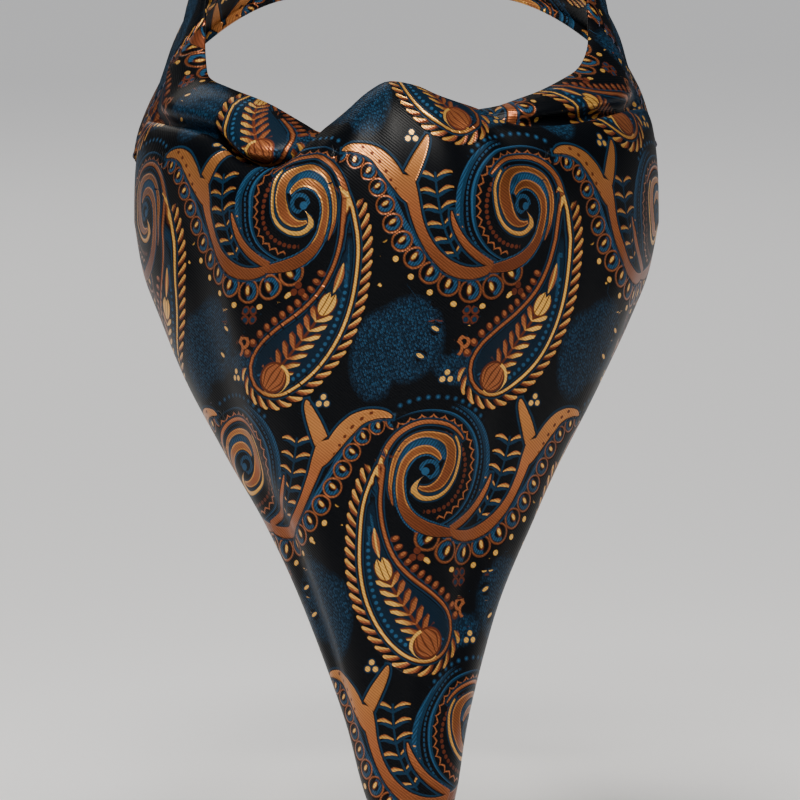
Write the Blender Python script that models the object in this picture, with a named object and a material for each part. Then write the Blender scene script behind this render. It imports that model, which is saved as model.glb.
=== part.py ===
"""A silk day cravat, tied once over at the throat and spread, in the form it keeps when worn.

The neck is left out. The origin is the middle of the neck opening, +Z up and -Y to the front.
"""

import math

import bpy
import numpy as np

MM = 0.001

# Named sizes, in millimetres and degrees
WALL = 1.2  # the doubled silk with its interlining
BAND_WALL = 1.2  # the pleated band's own wall
LAYER = 1.9  # from the middle of one layer to the middle of the next
AXIS_Y = -8.5  # the upright axis that the angles are measured about
SEAM_ANGLE = 88.4  # where the pleated band hands over to the spread blades
SEAM_GAP = 0.33  # half the angle left open at that seam
CROSS_ANGLE = 15.0  # how far each blade runs past the middle where they cross
BLEND_HEIGHT = -60.0  # below this the front blade hangs free of the neck
TOP_ROWS = 14  # steps down the front blade from its upper edge to that height
PLEATS = 3
PLEAT_DEPTH = 2.4
PLEAT_LIP = 0.14  # the share of a pleat's width that turns back in
RELEASE_ANGLE = 76.0  # the pleats have opened out by here
TUCK_LENGTH = 30.0  # how far the turned-over top runs down behind the crossing
TUCK_RADIUS = 5.0
SETTLE = 2  # times its upper rows are evened out
HEM_RADIUS = 1.35  # the rounding of the front blade's upper edge beside the crest
EDGE_ROLL = 2.6  # how far the front blade's upper edge rolls in
GROOVE = 5.2  # how far the crossing blades dip under that edge
LOW_DIP = 3.4  # and further down, to leave room for the under blade
MIDDLE_DROP = 8.5  # how far they lie inside the front blade where they cross
EDGE_SHARE = 0.14  # the least share of their width above that edge
EDGE_ROW = 7  # the row of points that follows it
UNDER_TOP = -70.0
UNDER_TIP = -232.0
UNDER_SHARE = 0.78  # the under blade's turn beside the front blade's
UNDER_INSET = 2.6

# The ring round the neck: one row for each angle from the front, negative to the left
RING_COLUMNS = ("angle", "upper_radius", "upper_height", "lower_radius", "lower_height")
RING = (
    (-180.0, 68.0, 50.0, 73.0, 8.0),
    (-150.0, 67.0, 46.5, 73.0, 4.0),
    (-125.0, 63.0, 36.0, 74.0, -8.0),
    (-105.0, 60.5, 20.0, 77.0, -24.0),
    (-92.0, 60.0, 5.0, 79.5, -38.0),
    (-80.0, 60.8, -9.0, 79.5, -50.0),
    (-74.0, 61.2, -14.0, 78.5, -54.0),
    (-59.0, 60.5, -16.5, 75.5, -62.0),
    (-43.0, 58.9, -20.0, 74.2, -72.0),
    (-30.0, 58.4, -25.5, 74.0, -78.0),
    (-22.0, 58.2, -29.5, 74.0, -80.0),
    (-8.0, 58.0, -33.0, 74.0, -82.0),
    (10.0, 58.0, -33.0, 74.0, -82.0),
    (20.0, 58.2, -27.5, 74.0, -80.0),
    (27.0, 58.5, -22.5, 74.0, -78.0),
    (40.0, 59.0, -18.5, 74.2, -72.0),
    (58.0, 60.0, -13.8, 75.5, -60.0),
    (70.0, 60.8, -10.4, 77.0, -53.0),
    (78.0, 61.0, -6.0, 77.5, -47.0),
    (92.0, 60.0, 7.0, 78.0, -35.0),
    (105.0, 60.5, 21.0, 77.0, -22.0),
    (125.0, 63.0, 36.5, 74.0, -7.0),
    (150.0, 67.0, 46.5, 73.0, 4.0),
    (180.0, 68.0, 50.0, 73.0, 8.0),
)

# The front blade's upper edge: the turned-over crest at the throat and the creases beside it
TOP_COLUMNS = ("angle", "edge_height", "form_radius", "form_height", "tuck", "roll")
TOP = (
    (-84.0, -29.0, 60.6, -5.5, 0.0, 0.5),
    (-72.0, -28.6, 61.1, -14.4, 0.0, 0.5),
    (-62.0, -28.6, 60.7, -16.0, 0.0, 0.6),
    (-51.0, -29.8, 59.7, -18.0, 0.0, 0.8),
    (-44.0, -34.0, 59.0, -19.7, 0.0, 1.0),
    (-38.0, -37.2, 58.7, -22.0, 0.0, 1.0),
    (-31.0, -38.2, 58.7, -24.6, 0.0, 1.0),
    (-26.5, -36.6, 58.9, -25.8, 0.0, 0.8),
    (-22.5, -31.0, 59.4, -25.6, 0.0, 0.4),
    (-19.0, -25.2, 60.0, -24.9, 0.08, 0.0),
    (-14.0, -20.6, 60.0, -20.6, 0.35, 0.0),
    (-8.0, -15.0, 60.0, -15.0, 0.8, 0.0),
    (-2.0, -11.8, 60.0, -11.8, 1.0, 0.0),
    (5.0, -13.0, 60.0, -13.0, 1.0, 0.0),
    (12.0, -16.2, 60.0, -16.2, 0.7, 0.0),
    (18.0, -18.5, 60.0, -18.5, 0.3, 0.0),
    (23.0, -20.3, 60.0, -20.2, 0.06, 0.0),
    (28.0, -23.6, 59.8, -20.4, 0.0, 0.3),
    (34.0, -26.0, 59.5, -19.4, 0.0, 0.6),
    (45.0, -26.2, 59.4, -16.6, 0.0, 0.6),
    (60.0, -25.0, 60.1, -13.0, 0.0, 0.5),
    (72.0, -24.4, 60.8, -9.6, 0.0, 0.5),
    (84.0, -25.0, 60.8, -1.5, 0.0, 0.5),
)

# The front blade below the neck: one row for each level section, and the angle its edge turns to
FRONT_COLUMNS = ("height", "middle_x", "front_y", "radius", "edge_turn")
FRONT = (
    (-251.0, 5.7, -100.6, 1.4, 76.0),
    (-247.5, 5.4, -100.4, 4.6, 84.0),
    (-241.0, 5.0, -100.0, 9.2, 92.0),
    (-232.0, 4.4, -99.2, 13.2, 96.0),
    (-210.0, 3.2, -97.2, 18.2, 100.0),
    (-190.0, 2.0, -95.0, 24.4, 102.0),
    (-170.0, 0.8, -92.8, 31.6, 102.0),
    (-150.0, 0.0, -91.0, 41.0, 100.0),
    (-130.0, -1.0, -90.0, 52.4, 96.0),
    (-110.0, -1.0, -90.0, 64.0, 92.0),
    (-90.0, -0.4, -90.6, 73.4, 88.0),
    (-75.0, -0.2, -91.0, 79.4, 84.0),
    (-60.0, 0.0, -91.0, 82.5, 82.0),
)

# The long soft folds of the front blade, by the share of its half width they run down
FOLD_COLUMNS = ("share", "spread", "depth", "start", "end")
FOLDS = (
    (-0.62, 0.11, 3.4, -34.0, -225.0),
    (-0.30, 0.12, -1.6, -60.0, -200.0),
    (0.06, 0.13, -2.0, -40.0, -250.0),
    (0.40, 0.13, 3.4, -34.0, -225.0),
    (0.74, 0.10, -1.8, -50.0, -190.0),
)

CLOTH = (0.02, 0.035, 0.06, 1.0)


def named(columns, rows):
    """A table as one array of values for each named column."""
    return {name: np.array([row[i] for row in rows]) for i, name in enumerate(columns)}


def smooth(table, key, column, at):
    """A smooth curve through one column of a table that never overshoots its rows."""
    x, y = table[key], table[column]
    step = np.diff(x)
    rise = np.diff(y) / step
    slope = np.zeros(len(x))
    for i in range(1, len(x) - 1):
        if rise[i - 1] * rise[i] > 0:
            a, b = 2 * step[i] + step[i - 1], step[i] + 2 * step[i - 1]
            slope[i] = (a + b) / (a / rise[i - 1] + b / rise[i])
    slope[0], slope[-1] = rise[0], rise[-1]
    at = min(max(at, x[0]), x[-1])
    i = min(int(np.searchsorted(x, at, side="right")) - 1, len(x) - 2)
    t = (at - x[i]) / step[i]
    return (
        (1 + 2 * t) * (1 - t) ** 2 * y[i]
        + t * (1 - t) ** 2 * step[i] * slope[i]
        + t * t * (3 - 2 * t) * y[i + 1]
        + t * t * (t - 1) * step[i] * slope[i + 1]
    )


RING_T = named(RING_COLUMNS, RING)
TOP_T = named(TOP_COLUMNS, TOP)
FRONT_T = named(FRONT_COLUMNS, FRONT)


def ease(low, high, at):
    """0 below low, 1 above high and a smooth change between."""
    t = min(max((at - low) / (high - low), 0.0), 1.0)
    return t * t * (3 - 2 * t)


def swell(t):
    """The share of its full spread that draped cloth has reached at the share t of its drop."""
    t = min(max(t, 0.0), 1.0)
    return (1 - (1 - t) ** 3) ** 0.625


def around(angle, radius, height):
    """A point at an angle and radius about the upright axis."""
    a = math.radians(angle)
    return (radius * math.sin(a), AXIS_Y - radius * math.cos(a), height)


def pleat_step(share):
    """How far the pleated band stands out at a share of its width."""
    within = (share * PLEATS) % 1.0 if share < 1 else 1.0
    if within < 1 - PLEAT_LIP:
        return PLEAT_DEPTH * within / (1 - PLEAT_LIP)
    return PLEAT_DEPTH * (1 - within) / PLEAT_LIP


def groove(angle, height):
    """How far a crossing blade dips to pass under the front blade's upper edge."""
    edge = smooth(TOP_T, "angle", "edge_height", angle)
    deep = GROOVE + EDGE_ROLL * smooth(TOP_T, "angle", "roll", angle)
    beside = ease(15.0, 26.0, abs(angle)) * (1 - ease(83.0, 88.0, abs(angle)))
    low = LOW_DIP * (1 - ease(-66.0, -45.0, height))
    return beside * (deep * (1 - ease(edge - 0.6, edge + 6.0, height)) + low)


def ring_radius(angle, height):
    """The radius of the ring's layer, straight in the band and swelling out to the front."""
    upper, lower = (smooth(RING_T, "angle", c, angle) for c in ("upper_height", "lower_height"))
    inner, outer = (smooth(RING_T, "angle", c, angle) for c in ("upper_radius", "lower_radius"))
    band = inner + (outer - inner) * min(max((upper - height) / (upper - lower), 0.0), 1.0)
    middle = 1 - ease(18.0, 26.0, abs(angle))
    full = smooth(FRONT_T, "height", "radius", BLEND_HEIGHT) - MIDDLE_DROP * middle
    spread = inner + (full - inner) * swell((upper - height) / (upper - BLEND_HEIGHT))
    front = 1 - ease(70.0, 100.0, abs(angle))
    return band + (spread - groove(angle, height) - band) * front


def ring_point(angle, share, lift=0.0):
    """A point of the ring's layer at an angle and a share of its width."""
    upper, lower = (smooth(RING_T, "angle", c, angle) for c in ("upper_height", "lower_height"))
    height = upper + (lower - upper) * share
    pleats = ease(RELEASE_ANGLE, SEAM_ANGLE, abs(angle)) * pleat_step(share)
    radius = ring_radius(angle, height) + pleats + lift
    return around(angle, radius, height + lift * (1 - share) ** 2)


def fold_depth(share, height):
    """How far the long folds draw the front blade in at a share of its half width."""
    depth = 0.0
    for middle, spread, deep, start, end in FOLDS:
        along = (1 - ease(start - 30, start, height)) * ease(end - 10, end + 45, height)
        depth += deep * along * math.exp(-(((share - middle) / spread) ** 2))
    return depth


def front_section(share, height, inset=0.0, turn=1.0):
    """A point of the front blade's level section below the neck, or of a layer inside it."""
    middle, front, radius, edge = (
        smooth(FRONT_T, "height", c, height)
        for c in ("middle_x", "front_y", "radius", "edge_turn")
    )
    scale = min(1.0, radius / 40.0)
    depth = fold_depth(share * turn, height) * scale
    a = math.radians(edge * share * turn)
    r = max(radius - inset, 0.35 * radius)
    drawn = r - depth
    return (middle + drawn * math.sin(a), front + radius - drawn * math.cos(a), height)


def front_radius(angle, height):
    """The front blade's radius over the neck, kept clear of the blades that cross under it."""
    inner = smooth(TOP_T, "angle", "form_radius", angle)
    top = smooth(TOP_T, "angle", "form_height", angle)
    outer = smooth(FRONT_T, "height", "radius", BLEND_HEIGHT)
    t = (top - height) / (top - BLEND_HEIGHT)
    form = inner + (outer - inner) * swell(t)
    edge = smooth(TOP_T, "angle", "edge_height", angle)
    roll = EDGE_ROLL * smooth(TOP_T, "angle", "roll", angle)
    near = min(max(1 - (edge - height) / 5.0, 0.0), 1.0)
    form -= roll * (1 - math.sqrt(1 - near * near))
    share = angle / smooth(FRONT_T, "height", "edge_turn", BLEND_HEIGHT)
    form -= fold_depth(share, height)
    return form


def top_path(angle):
    """The front blade from its tuck over the crest, or from its rolled edge, to the free part."""
    edge = smooth(TOP_T, "angle", "edge_height", angle)
    tuck = smooth(TOP_T, "angle", "tuck", angle)
    bend = max(TUCK_RADIUS * min(1.0, tuck * 1.6), HEM_RADIUS)
    run = TUCK_LENGTH * tuck * tuck + 0.9
    radius = front_radius(angle, edge)
    path = [(radius - bend, edge - bend - run * (1 - k / 3)) for k in range(3)]
    for turn in (0.0, 28.0, 56.0):
        q = math.radians(turn)
        path.append((radius - bend * math.cos(q), edge - bend + bend * math.sin(q)))
    for k in range(TOP_ROWS):
        height = edge + (BLEND_HEIGHT - edge) * (k / TOP_ROWS) ** 1.7
        path.append((front_radius(angle, height), height))
    return path


def front_angles():
    """The front blade's columns, closest together over the crest and its valleys."""
    left = np.linspace(-82.0, -24.0, 14)[:-1]
    middle = np.linspace(-24.0, 29.0, 25)
    right = np.linspace(29.0, 82.0, 13)[1:]
    return [float(a) for a in np.concatenate([left, middle, right])]


def front_grid():
    """The front blade, a column for each angle and a row for each step down it."""
    angles = front_angles()
    free_rows = 22
    last = FRONT[0][0]
    heights = [
        BLEND_HEIGHT + (last - BLEND_HEIGHT) * (k / free_rows) ** 0.95 for k in range(free_rows + 1)
    ]
    grid = []
    for angle in angles:
        share = angle / 82.0
        column = [around(angle, r, z) for r, z in top_path(angle)]
        column += [front_section(share, z) for z in heights]
        grid.append(column)
    return settled(grid, 10)


def settled(grid, rows):
    """The grid with its first rows evened out from column to column."""
    points = np.array(grid)
    for _ in range(SETTLE):
        beside = (points[:-2, :rows] + points[2:, :rows]) / 2
        share = np.linspace(0.5, 0.1, rows)[None, :, None]
        points[1:-1, :rows] += (beside - points[1:-1, :rows]) * share
    return points


def under_grid():
    """The under blade, which hangs inside the front one."""
    rows, columns = 22, 18
    grid = []
    for i in range(columns + 1):
        share = -1 + 2 * i / columns
        column = []
        for k in range(rows + 1):
            height = UNDER_TOP + (UNDER_TIP - UNDER_TOP) * k / rows
            close = ease(UNDER_TIP - 2, UNDER_TIP + 60, height)
            turn = UNDER_SHARE * (0.12 + 0.88 * close)
            column.append(front_section(share, height, UNDER_INSET, turn))
        grid.append(column)
    return grid


def wrap_shares(angle, rows):
    """The places across a crossing blade, with one row just under the front blade's upper edge."""
    upper, lower = (smooth(RING_T, "angle", c, angle) for c in ("upper_height", "lower_height"))
    edge = smooth(TOP_T, "angle", "edge_height", angle)
    at_edge = min((upper - edge + 0.8) / (upper - lower), 0.6)
    at_edge = (at_edge + EDGE_SHARE + math.hypot(at_edge - EDGE_SHARE, 0.06)) / 2
    above = [at_edge * k / EDGE_ROW for k in range(EDGE_ROW)]
    below = rows - EDGE_ROW
    return above + [at_edge + (1 - at_edge) * (k / below) ** 1.3 for k in range(below + 1)]


def wrap_grid(side):
    """The blade as it leaves the pleated band and runs to the crossing, left for -1 and right for 1."""
    start, end = SEAM_ANGLE - SEAM_GAP, -CROSS_ANGLE
    columns, rows = 30, 15
    grid = []
    for i in range(columns + 1):
        angle = start + (end - start) * i / columns
        lift = LAYER * (1 - ease(16.0, 34.0, angle)) if side > 0 else 0.0
        grid.append([ring_point(side * angle, s, lift) for s in wrap_shares(side * angle, rows)])
    return grid


def band_shares():
    """The places across the pleated band that its folds need."""
    shares = [0.0]
    for p in range(PLEATS):
        shares += [(p + f) / PLEATS for f in (0.4, 0.8, 1 - PLEAT_LIP, 1 - PLEAT_LIP / 2, 1.0)]
    return shares


def band_grid():
    """The pleated band round the sides and back of the neck."""
    columns = 40
    start = SEAM_ANGLE + SEAM_GAP
    grid = []
    for i in range(columns + 1):
        angle = start + (360 - 2 * start) * i / columns
        angle = angle if angle <= 180 else angle - 360
        grid.append([ring_point(angle, s) for s in band_shares()])
    return grid


def normals(points):
    """The outward direction at each point of a grid, from the points beside it."""
    along = np.gradient(points, axis=1)
    across = np.gradient(points, axis=0)
    n = np.cross(across, along)
    return n / np.linalg.norm(n, axis=2, keepdims=True)


def shell(name, grid, wall, flip=False):
    """One closed solid: a grid of points given a wall, half on each side."""
    points = np.array(grid, dtype=float)
    n = normals(points) * (-1 if flip else 1)
    count_u, count_v = points.shape[:2]
    outer = (points + n * wall / 2).reshape(-1, 3)
    inner = (points - n * wall / 2).reshape(-1, 3)
    verts = np.concatenate([outer, inner]) * MM
    half = count_u * count_v

    def at(i, j):
        return i * count_v + j

    faces = []
    for i in range(count_u - 1):
        for j in range(count_v - 1):
            a, b, c, d = at(i, j), at(i + 1, j), at(i + 1, j + 1), at(i, j + 1)
            faces += [(a, b, c, d), (d + half, c + half, b + half, a + half)]
    rim = [at(i, 0) for i in range(count_u)]
    rim += [at(count_u - 1, j) for j in range(1, count_v)]
    rim += [at(i, count_v - 1) for i in range(count_u - 2, -1, -1)]
    rim += [at(0, j) for j in range(count_v - 2, 0, -1)]
    for a, b in zip(rim, rim[1:] + rim[:1]):
        faces.append((b, a, a + half, b + half))
    if flip:
        faces = [tuple(reversed(f)) for f in faces]
    return add_object(name, verts, faces)


def add_object(name, verts, faces):
    """An object with its own plain cloth material."""
    mesh = bpy.data.meshes.new(name)
    mesh.from_pydata([tuple(v) for v in verts], [], faces)
    mesh.validate()
    material = bpy.data.materials.new(name + "_silk")
    material.use_nodes = True
    shader = material.node_tree.nodes["Principled BSDF"]
    shader.inputs["Base Color"].default_value = CLOTH
    shader.inputs["Roughness"].default_value = 0.45
    mesh.materials.append(material)
    thing = bpy.data.objects.new(name, mesh)
    bpy.context.scene.collection.objects.link(thing)
    return thing


def build():
    """The cravat: its pleated band, the two crossing blades and the two hanging ends."""
    for thing in list(bpy.data.objects):
        bpy.data.objects.remove(thing, do_unlink=True)
    shell("neckband", band_grid(), BAND_WALL)
    shell("left_wrap", wrap_grid(-1), WALL)
    shell("right_wrap", wrap_grid(1), WALL)
    shell("under_blade", under_grid(), WALL)
    shell("front_blade", front_grid(), WALL)


build()
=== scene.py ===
"""A silk day cravat with a woven paisley figure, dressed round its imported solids."""

import math

import bpy
import numpy as np
from bpy.props import FloatProperty, FloatVectorProperty, PointerProperty
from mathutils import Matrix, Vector


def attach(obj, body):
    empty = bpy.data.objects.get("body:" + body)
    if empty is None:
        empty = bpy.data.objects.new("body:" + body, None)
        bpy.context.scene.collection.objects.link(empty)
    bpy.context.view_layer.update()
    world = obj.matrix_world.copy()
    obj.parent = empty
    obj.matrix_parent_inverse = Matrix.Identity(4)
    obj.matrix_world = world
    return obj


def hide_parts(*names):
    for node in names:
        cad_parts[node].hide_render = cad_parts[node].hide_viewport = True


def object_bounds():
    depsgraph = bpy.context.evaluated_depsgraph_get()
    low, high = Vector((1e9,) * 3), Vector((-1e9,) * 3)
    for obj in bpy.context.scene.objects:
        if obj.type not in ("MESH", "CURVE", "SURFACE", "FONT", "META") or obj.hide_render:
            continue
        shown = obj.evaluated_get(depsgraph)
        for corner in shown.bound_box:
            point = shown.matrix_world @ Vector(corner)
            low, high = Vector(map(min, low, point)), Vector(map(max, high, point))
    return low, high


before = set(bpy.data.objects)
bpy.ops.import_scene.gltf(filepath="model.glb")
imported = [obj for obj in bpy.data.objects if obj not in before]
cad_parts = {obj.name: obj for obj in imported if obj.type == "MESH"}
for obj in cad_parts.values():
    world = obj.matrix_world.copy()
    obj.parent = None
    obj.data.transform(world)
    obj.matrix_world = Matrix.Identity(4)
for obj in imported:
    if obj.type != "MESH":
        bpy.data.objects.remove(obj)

CAD_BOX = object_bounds()

bl_info = {
    "name": "Silk Cravat",
    "version": (1, 0, 0),
    "blender": (4, 5, 0),
    "location": "View3D > Sidebar > Cravat",
    "description": "Makes a tied day cravat of figured silk and the stage that it is shown on",
    "category": "Add Mesh",
}

MM = 0.001

# ---------------------------------------------------------------- sizes of the tied form, in mm

LAYER = 1.9  # from the middle of one layer to the middle of the next
AXIS_Y = -8.5  # the upright axis that the angles are measured about
SEAM_ANGLE = 88.4  # where the pleated band hands over to the spread blades
SEAM_TURN = 0.16  # how far from that each cloth stops, so that their rounded rims just meet
CROSS_ANGLE = 15.0  # how far each blade runs past the middle where they cross
FRONT_ANGLE = 82.0  # how far round the front blade reaches to each side
BLEND_HEIGHT = -60.0  # below this the front blade hangs free of the neck
STITCHES = 15  # on each seam
THREAD = 0.24  # the thread's half thickness
STITCH_TURN = 0.9  # how far a stitch reaches to each side of the seam, in degrees
RIM = 0.3  # how far the rounded rim of a piece of cloth stands out from its edge
PLEATS = 3  # in the band
PLEAT_DEPTH = 2.4  # how far a pleat's free edge stands out
PLEAT_LIP = 0.14  # the share of a pleat over which that edge falls back
RELEASE_ANGLE = 76.0  # where the pleats have opened out into the crossing blades
TUCK_LENGTH = 30.0  # how far the front blade's end is tucked down behind the turn
TUCK_RADIUS = 5.0  # of the turn at the throat
HEM_RADIUS = 1.35  # of the turned hem beside it
EDGE_ROLL = 2.6  # how far the front blade's upper edge rolls in
GROOVE = 5.2  # how far the crossing blades dip to pass under that edge
LOW_DIP = 3.4  # and how far they dip lower down, behind the front blade
MIDDLE_DROP = 8.5  # how far they lie back at the crossing
EDGE_SHARE = 0.14  # the least share of their rows' run that is kept above that edge
UNDER_TOP = -70.0  # the under blade's upper end
UNDER_TIP = -232.0  # and its tip
UNDER_SHARE = 0.78  # its width as a share of the front blade's
UNDER_INSET = 2.6  # how far inside the front blade it hangs

# The neck ring by the angle from the front, as two edges
RING = (
    ("angle", "upper_radius", "upper_height", "lower_radius", "lower_height"),
    (-180.0, 68.0, 50.0, 73.0, 8.0),
    (-150.0, 67.0, 46.5, 73.0, 4.0),
    (-125.0, 63.0, 36.0, 74.0, -8.0),
    (-105.0, 60.5, 20.0, 77.0, -24.0),
    (-92.0, 60.0, 5.0, 79.5, -38.0),
    (-80.0, 60.8, -9.0, 79.5, -50.0),
    (-74.0, 61.2, -14.0, 78.5, -54.0),
    (-59.0, 60.5, -16.5, 75.5, -62.0),
    (-43.0, 58.9, -20.0, 74.2, -72.0),
    (-30.0, 58.4, -25.5, 74.0, -78.0),
    (-22.0, 58.2, -29.5, 74.0, -80.0),
    (-8.0, 58.0, -33.0, 74.0, -82.0),
    (10.0, 58.0, -33.0, 74.0, -82.0),
    (20.0, 58.2, -27.5, 74.0, -80.0),
    (27.0, 58.5, -22.5, 74.0, -78.0),
    (40.0, 59.0, -18.5, 74.2, -72.0),
    (58.0, 60.0, -13.8, 75.5, -60.0),
    (70.0, 60.8, -10.4, 77.0, -53.0),
    (78.0, 61.0, -6.0, 77.5, -47.0),
    (92.0, 60.0, 7.0, 78.0, -35.0),
    (105.0, 60.5, 21.0, 77.0, -22.0),
    (125.0, 63.0, 36.5, 74.0, -7.0),
    (150.0, 67.0, 46.5, 73.0, 4.0),
    (180.0, 68.0, 50.0, 73.0, 8.0),
)
# The front blade's upper edge by the same angle, and the form that it lies over
TOP = (
    ("angle", "edge_height", "form_radius", "form_height", "tuck", "roll"),
    (-84.0, -29.0, 60.6, -5.5, 0.0, 0.5),
    (-72.0, -28.6, 61.1, -14.4, 0.0, 0.5),
    (-62.0, -28.6, 60.7, -16.0, 0.0, 0.6),
    (-51.0, -29.8, 59.7, -18.0, 0.0, 0.8),
    (-44.0, -34.0, 59.0, -19.7, 0.0, 1.0),
    (-38.0, -37.2, 58.7, -22.0, 0.0, 1.0),
    (-31.0, -38.2, 58.7, -24.6, 0.0, 1.0),
    (-26.5, -36.6, 58.9, -25.8, 0.0, 0.8),
    (-22.5, -31.0, 59.4, -25.6, 0.0, 0.4),
    (-19.0, -25.2, 60.0, -24.9, 0.08, 0.0),
    (-14.0, -20.6, 60.0, -20.6, 0.35, 0.0),
    (-8.0, -15.0, 60.0, -15.0, 0.8, 0.0),
    (-2.0, -11.8, 60.0, -11.8, 1.0, 0.0),
    (5.0, -13.0, 60.0, -13.0, 1.0, 0.0),
    (12.0, -16.2, 60.0, -16.2, 0.7, 0.0),
    (18.0, -18.5, 60.0, -18.5, 0.3, 0.0),
    (23.0, -20.3, 60.0, -20.2, 0.06, 0.0),
    (28.0, -23.6, 59.8, -20.4, 0.0, 0.3),
    (34.0, -26.0, 59.5, -19.4, 0.0, 0.6),
    (45.0, -26.2, 59.4, -16.6, 0.0, 0.6),
    (60.0, -25.0, 60.1, -13.0, 0.0, 0.5),
    (72.0, -24.4, 60.8, -9.6, 0.0, 0.5),
    (84.0, -25.0, 60.8, -1.5, 0.0, 0.5),
)
# The front blade's level sections, from its tip to where it hangs free
FRONT = (
    ("height", "middle_x", "front_y", "radius", "edge_turn"),
    (-251.0, 5.7, -100.6, 1.4, 76.0),
    (-247.5, 5.4, -100.4, 4.6, 84.0),
    (-241.0, 5.0, -100.0, 9.2, 92.0),
    (-232.0, 4.4, -99.2, 13.2, 96.0),
    (-210.0, 3.2, -97.2, 18.2, 100.0),
    (-190.0, 2.0, -95.0, 24.4, 102.0),
    (-170.0, 0.8, -92.8, 31.6, 102.0),
    (-150.0, 0.0, -91.0, 41.0, 100.0),
    (-130.0, -1.0, -90.0, 52.4, 96.0),
    (-110.0, -1.0, -90.0, 64.0, 92.0),
    (-90.0, -0.4, -90.6, 73.4, 88.0),
    (-75.0, -0.2, -91.0, 79.4, 84.0),
    (-60.0, 0.0, -91.0, 82.5, 82.0),
)
# The long soft folds of the front blade, by the share of its half width that they run down
FOLDS = (
    # share, spread, depth, start, end
    (-0.62, 0.11, 3.4, -34.0, -225.0),
    (-0.30, 0.12, -1.6, -60.0, -200.0),
    (0.06, 0.13, -2.0, -40.0, -250.0),
    (0.40, 0.13, 3.4, -34.0, -225.0),
    (0.74, 0.10, -1.8, -50.0, -190.0),
)
CREASE_BOW = 0.05  # how far a crease bows out, as a share of its length
# Creases laid on each piece: from one point of the cloth to another, in its own mm
FRONT_CREASES = (
    # across, down, across, down, half width, depth
    (-20.0, -34.0, -50.0, -78.0, 3.6, 1.1),
    (-33.0, -46.0, -70.0, -66.0, 3.0, 0.8),
    (-14.0, -30.0, -24.0, -70.0, 3.2, 0.9),
    (-8.0, -20.0, -9.0, -62.0, 3.8, -0.7),
    (10.0, -18.0, 17.0, -66.0, 3.6, 0.8),
    (24.0, -26.0, 40.0, -76.0, 3.8, 1.0),
    (38.0, -34.0, 76.0, -56.0, 3.2, 0.8),
    (30.0, -30.0, 62.0, -92.0, 4.6, -0.7),
    (-62.0, -70.0, -44.0, -150.0, 5.0, 0.9),
    (-28.0, -92.0, -20.0, -160.0, 5.5, -0.8),
    (14.0, -96.0, 8.0, -176.0, 5.0, 0.8),
    (52.0, -84.0, 30.0, -165.0, 5.4, 1.0),
    (84.0, -66.0, 66.0, -112.0, 4.4, 0.7),
    (-92.0, -62.0, -78.0, -104.0, 4.0, 0.7),
)
WRAP_CREASES = (
    (-110.0, -38.0, -62.0, -44.0, 3.0, 0.9),
    (-92.0, -26.0, -40.0, -33.0, 2.6, 0.7),
    (-70.0, -52.0, -28.0, -50.0, 3.2, -0.7),
    (44.0, -36.0, 104.0, -34.0, 2.8, 0.8),
    (60.0, -20.0, 112.0, -12.0, 2.6, 0.7),
    (36.0, -52.0, 84.0, -50.0, 3.2, -0.6),
)
UNDER_CREASES = (
    (-40.0, -80.0, -14.0, -170.0, 5.0, 0.7),
    (6.0, -84.0, 4.0, -190.0, 5.0, -0.8),
    (44.0, -82.0, 18.0, -170.0, 5.0, 0.7),
)


# ---------------------------------------------------------------- the stage, in m

FLOOR_RADIUS = 16.0
LIGHTS = (
    # name, place, breadth, watts
    ("key_light", (-0.25, -0.95, 0.95), 0.35, 5.0),
    ("fill_light", (1.8, -1.6, 0.6), 1.4, 1.0),
    ("top_light", (0.0, -0.42, 0.6), 0.2, 8.0),
    ("back_light", (-0.6, 1.9, 1.1), 1.2, 9.0),
)
LIGHT_AIM = (0.0, -0.05, -0.08)
LAMP_COLOUR = (1.0, 0.95, 0.87)
SKY_POWER, SKY_SPREAD, SKY_TURN = 2.3, 24.0, (42.0, -10.0, 0.0)
ROOM_COLOUR, ROOM_LIGHT = (0.93, 0.94, 0.96, 1.0), 0.10
VIEW_X, VIEW_DEPTH, VIEW_HEIGHT = 0.0011, 0.060, -0.1178  # the middle of the camera's view


# ---------------------------------------------------------------- curves and the tied form

def slopes(x, y):
    """The slope at each row of a table's column that keeps its curve from overshooting."""
    step = np.diff(x)
    rise = np.diff(y) / step
    slope = np.zeros(len(x))
    for i in range(1, len(x) - 1):
        if rise[i - 1] * rise[i] > 0:
            a, b = 2 * step[i] + step[i - 1], step[i] + 2 * step[i - 1]
            slope[i] = (a + b) / (a / rise[i - 1] + b / rise[i])
    slope[0], slope[-1] = rise[0], rise[-1]
    return slope


class Table:
    """Smooth curves through the columns of a table, read by name."""

    def __init__(self, rows):
        self.x = np.array([r[0] for r in rows[1:]], float)
        self.columns = {}
        for i, name in enumerate(rows[0]):
            y = np.array([r[i] for r in rows[1:]], float)
            self.columns[name] = (y, slopes(self.x, y))

    def at(self, name, where):
        y, slope = self.columns[name]
        x = self.x
        where = np.clip(np.asarray(where, float), x[0], x[-1])
        i = np.clip(np.searchsorted(x, where, side="right") - 1, 0, len(x) - 2)
        step = x[i + 1] - x[i]
        t = (where - x[i]) / step
        return (
            (1 + 2 * t) * (1 - t) ** 2 * y[i]
            + t * (1 - t) ** 2 * step * slope[i]
            + t * t * (3 - 2 * t) * y[i + 1]
            + t * t * (t - 1) * step * slope[i + 1]
        )


RING_T, TOP_T, FRONT_T = Table(RING), Table(TOP), Table(FRONT)


def ease(low, high, at):
    """0 below low, 1 above high and a smooth change between."""
    t = np.clip((np.asarray(at, float) - low) / (high - low), 0.0, 1.0)
    return t * t * (3 - 2 * t)


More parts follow.
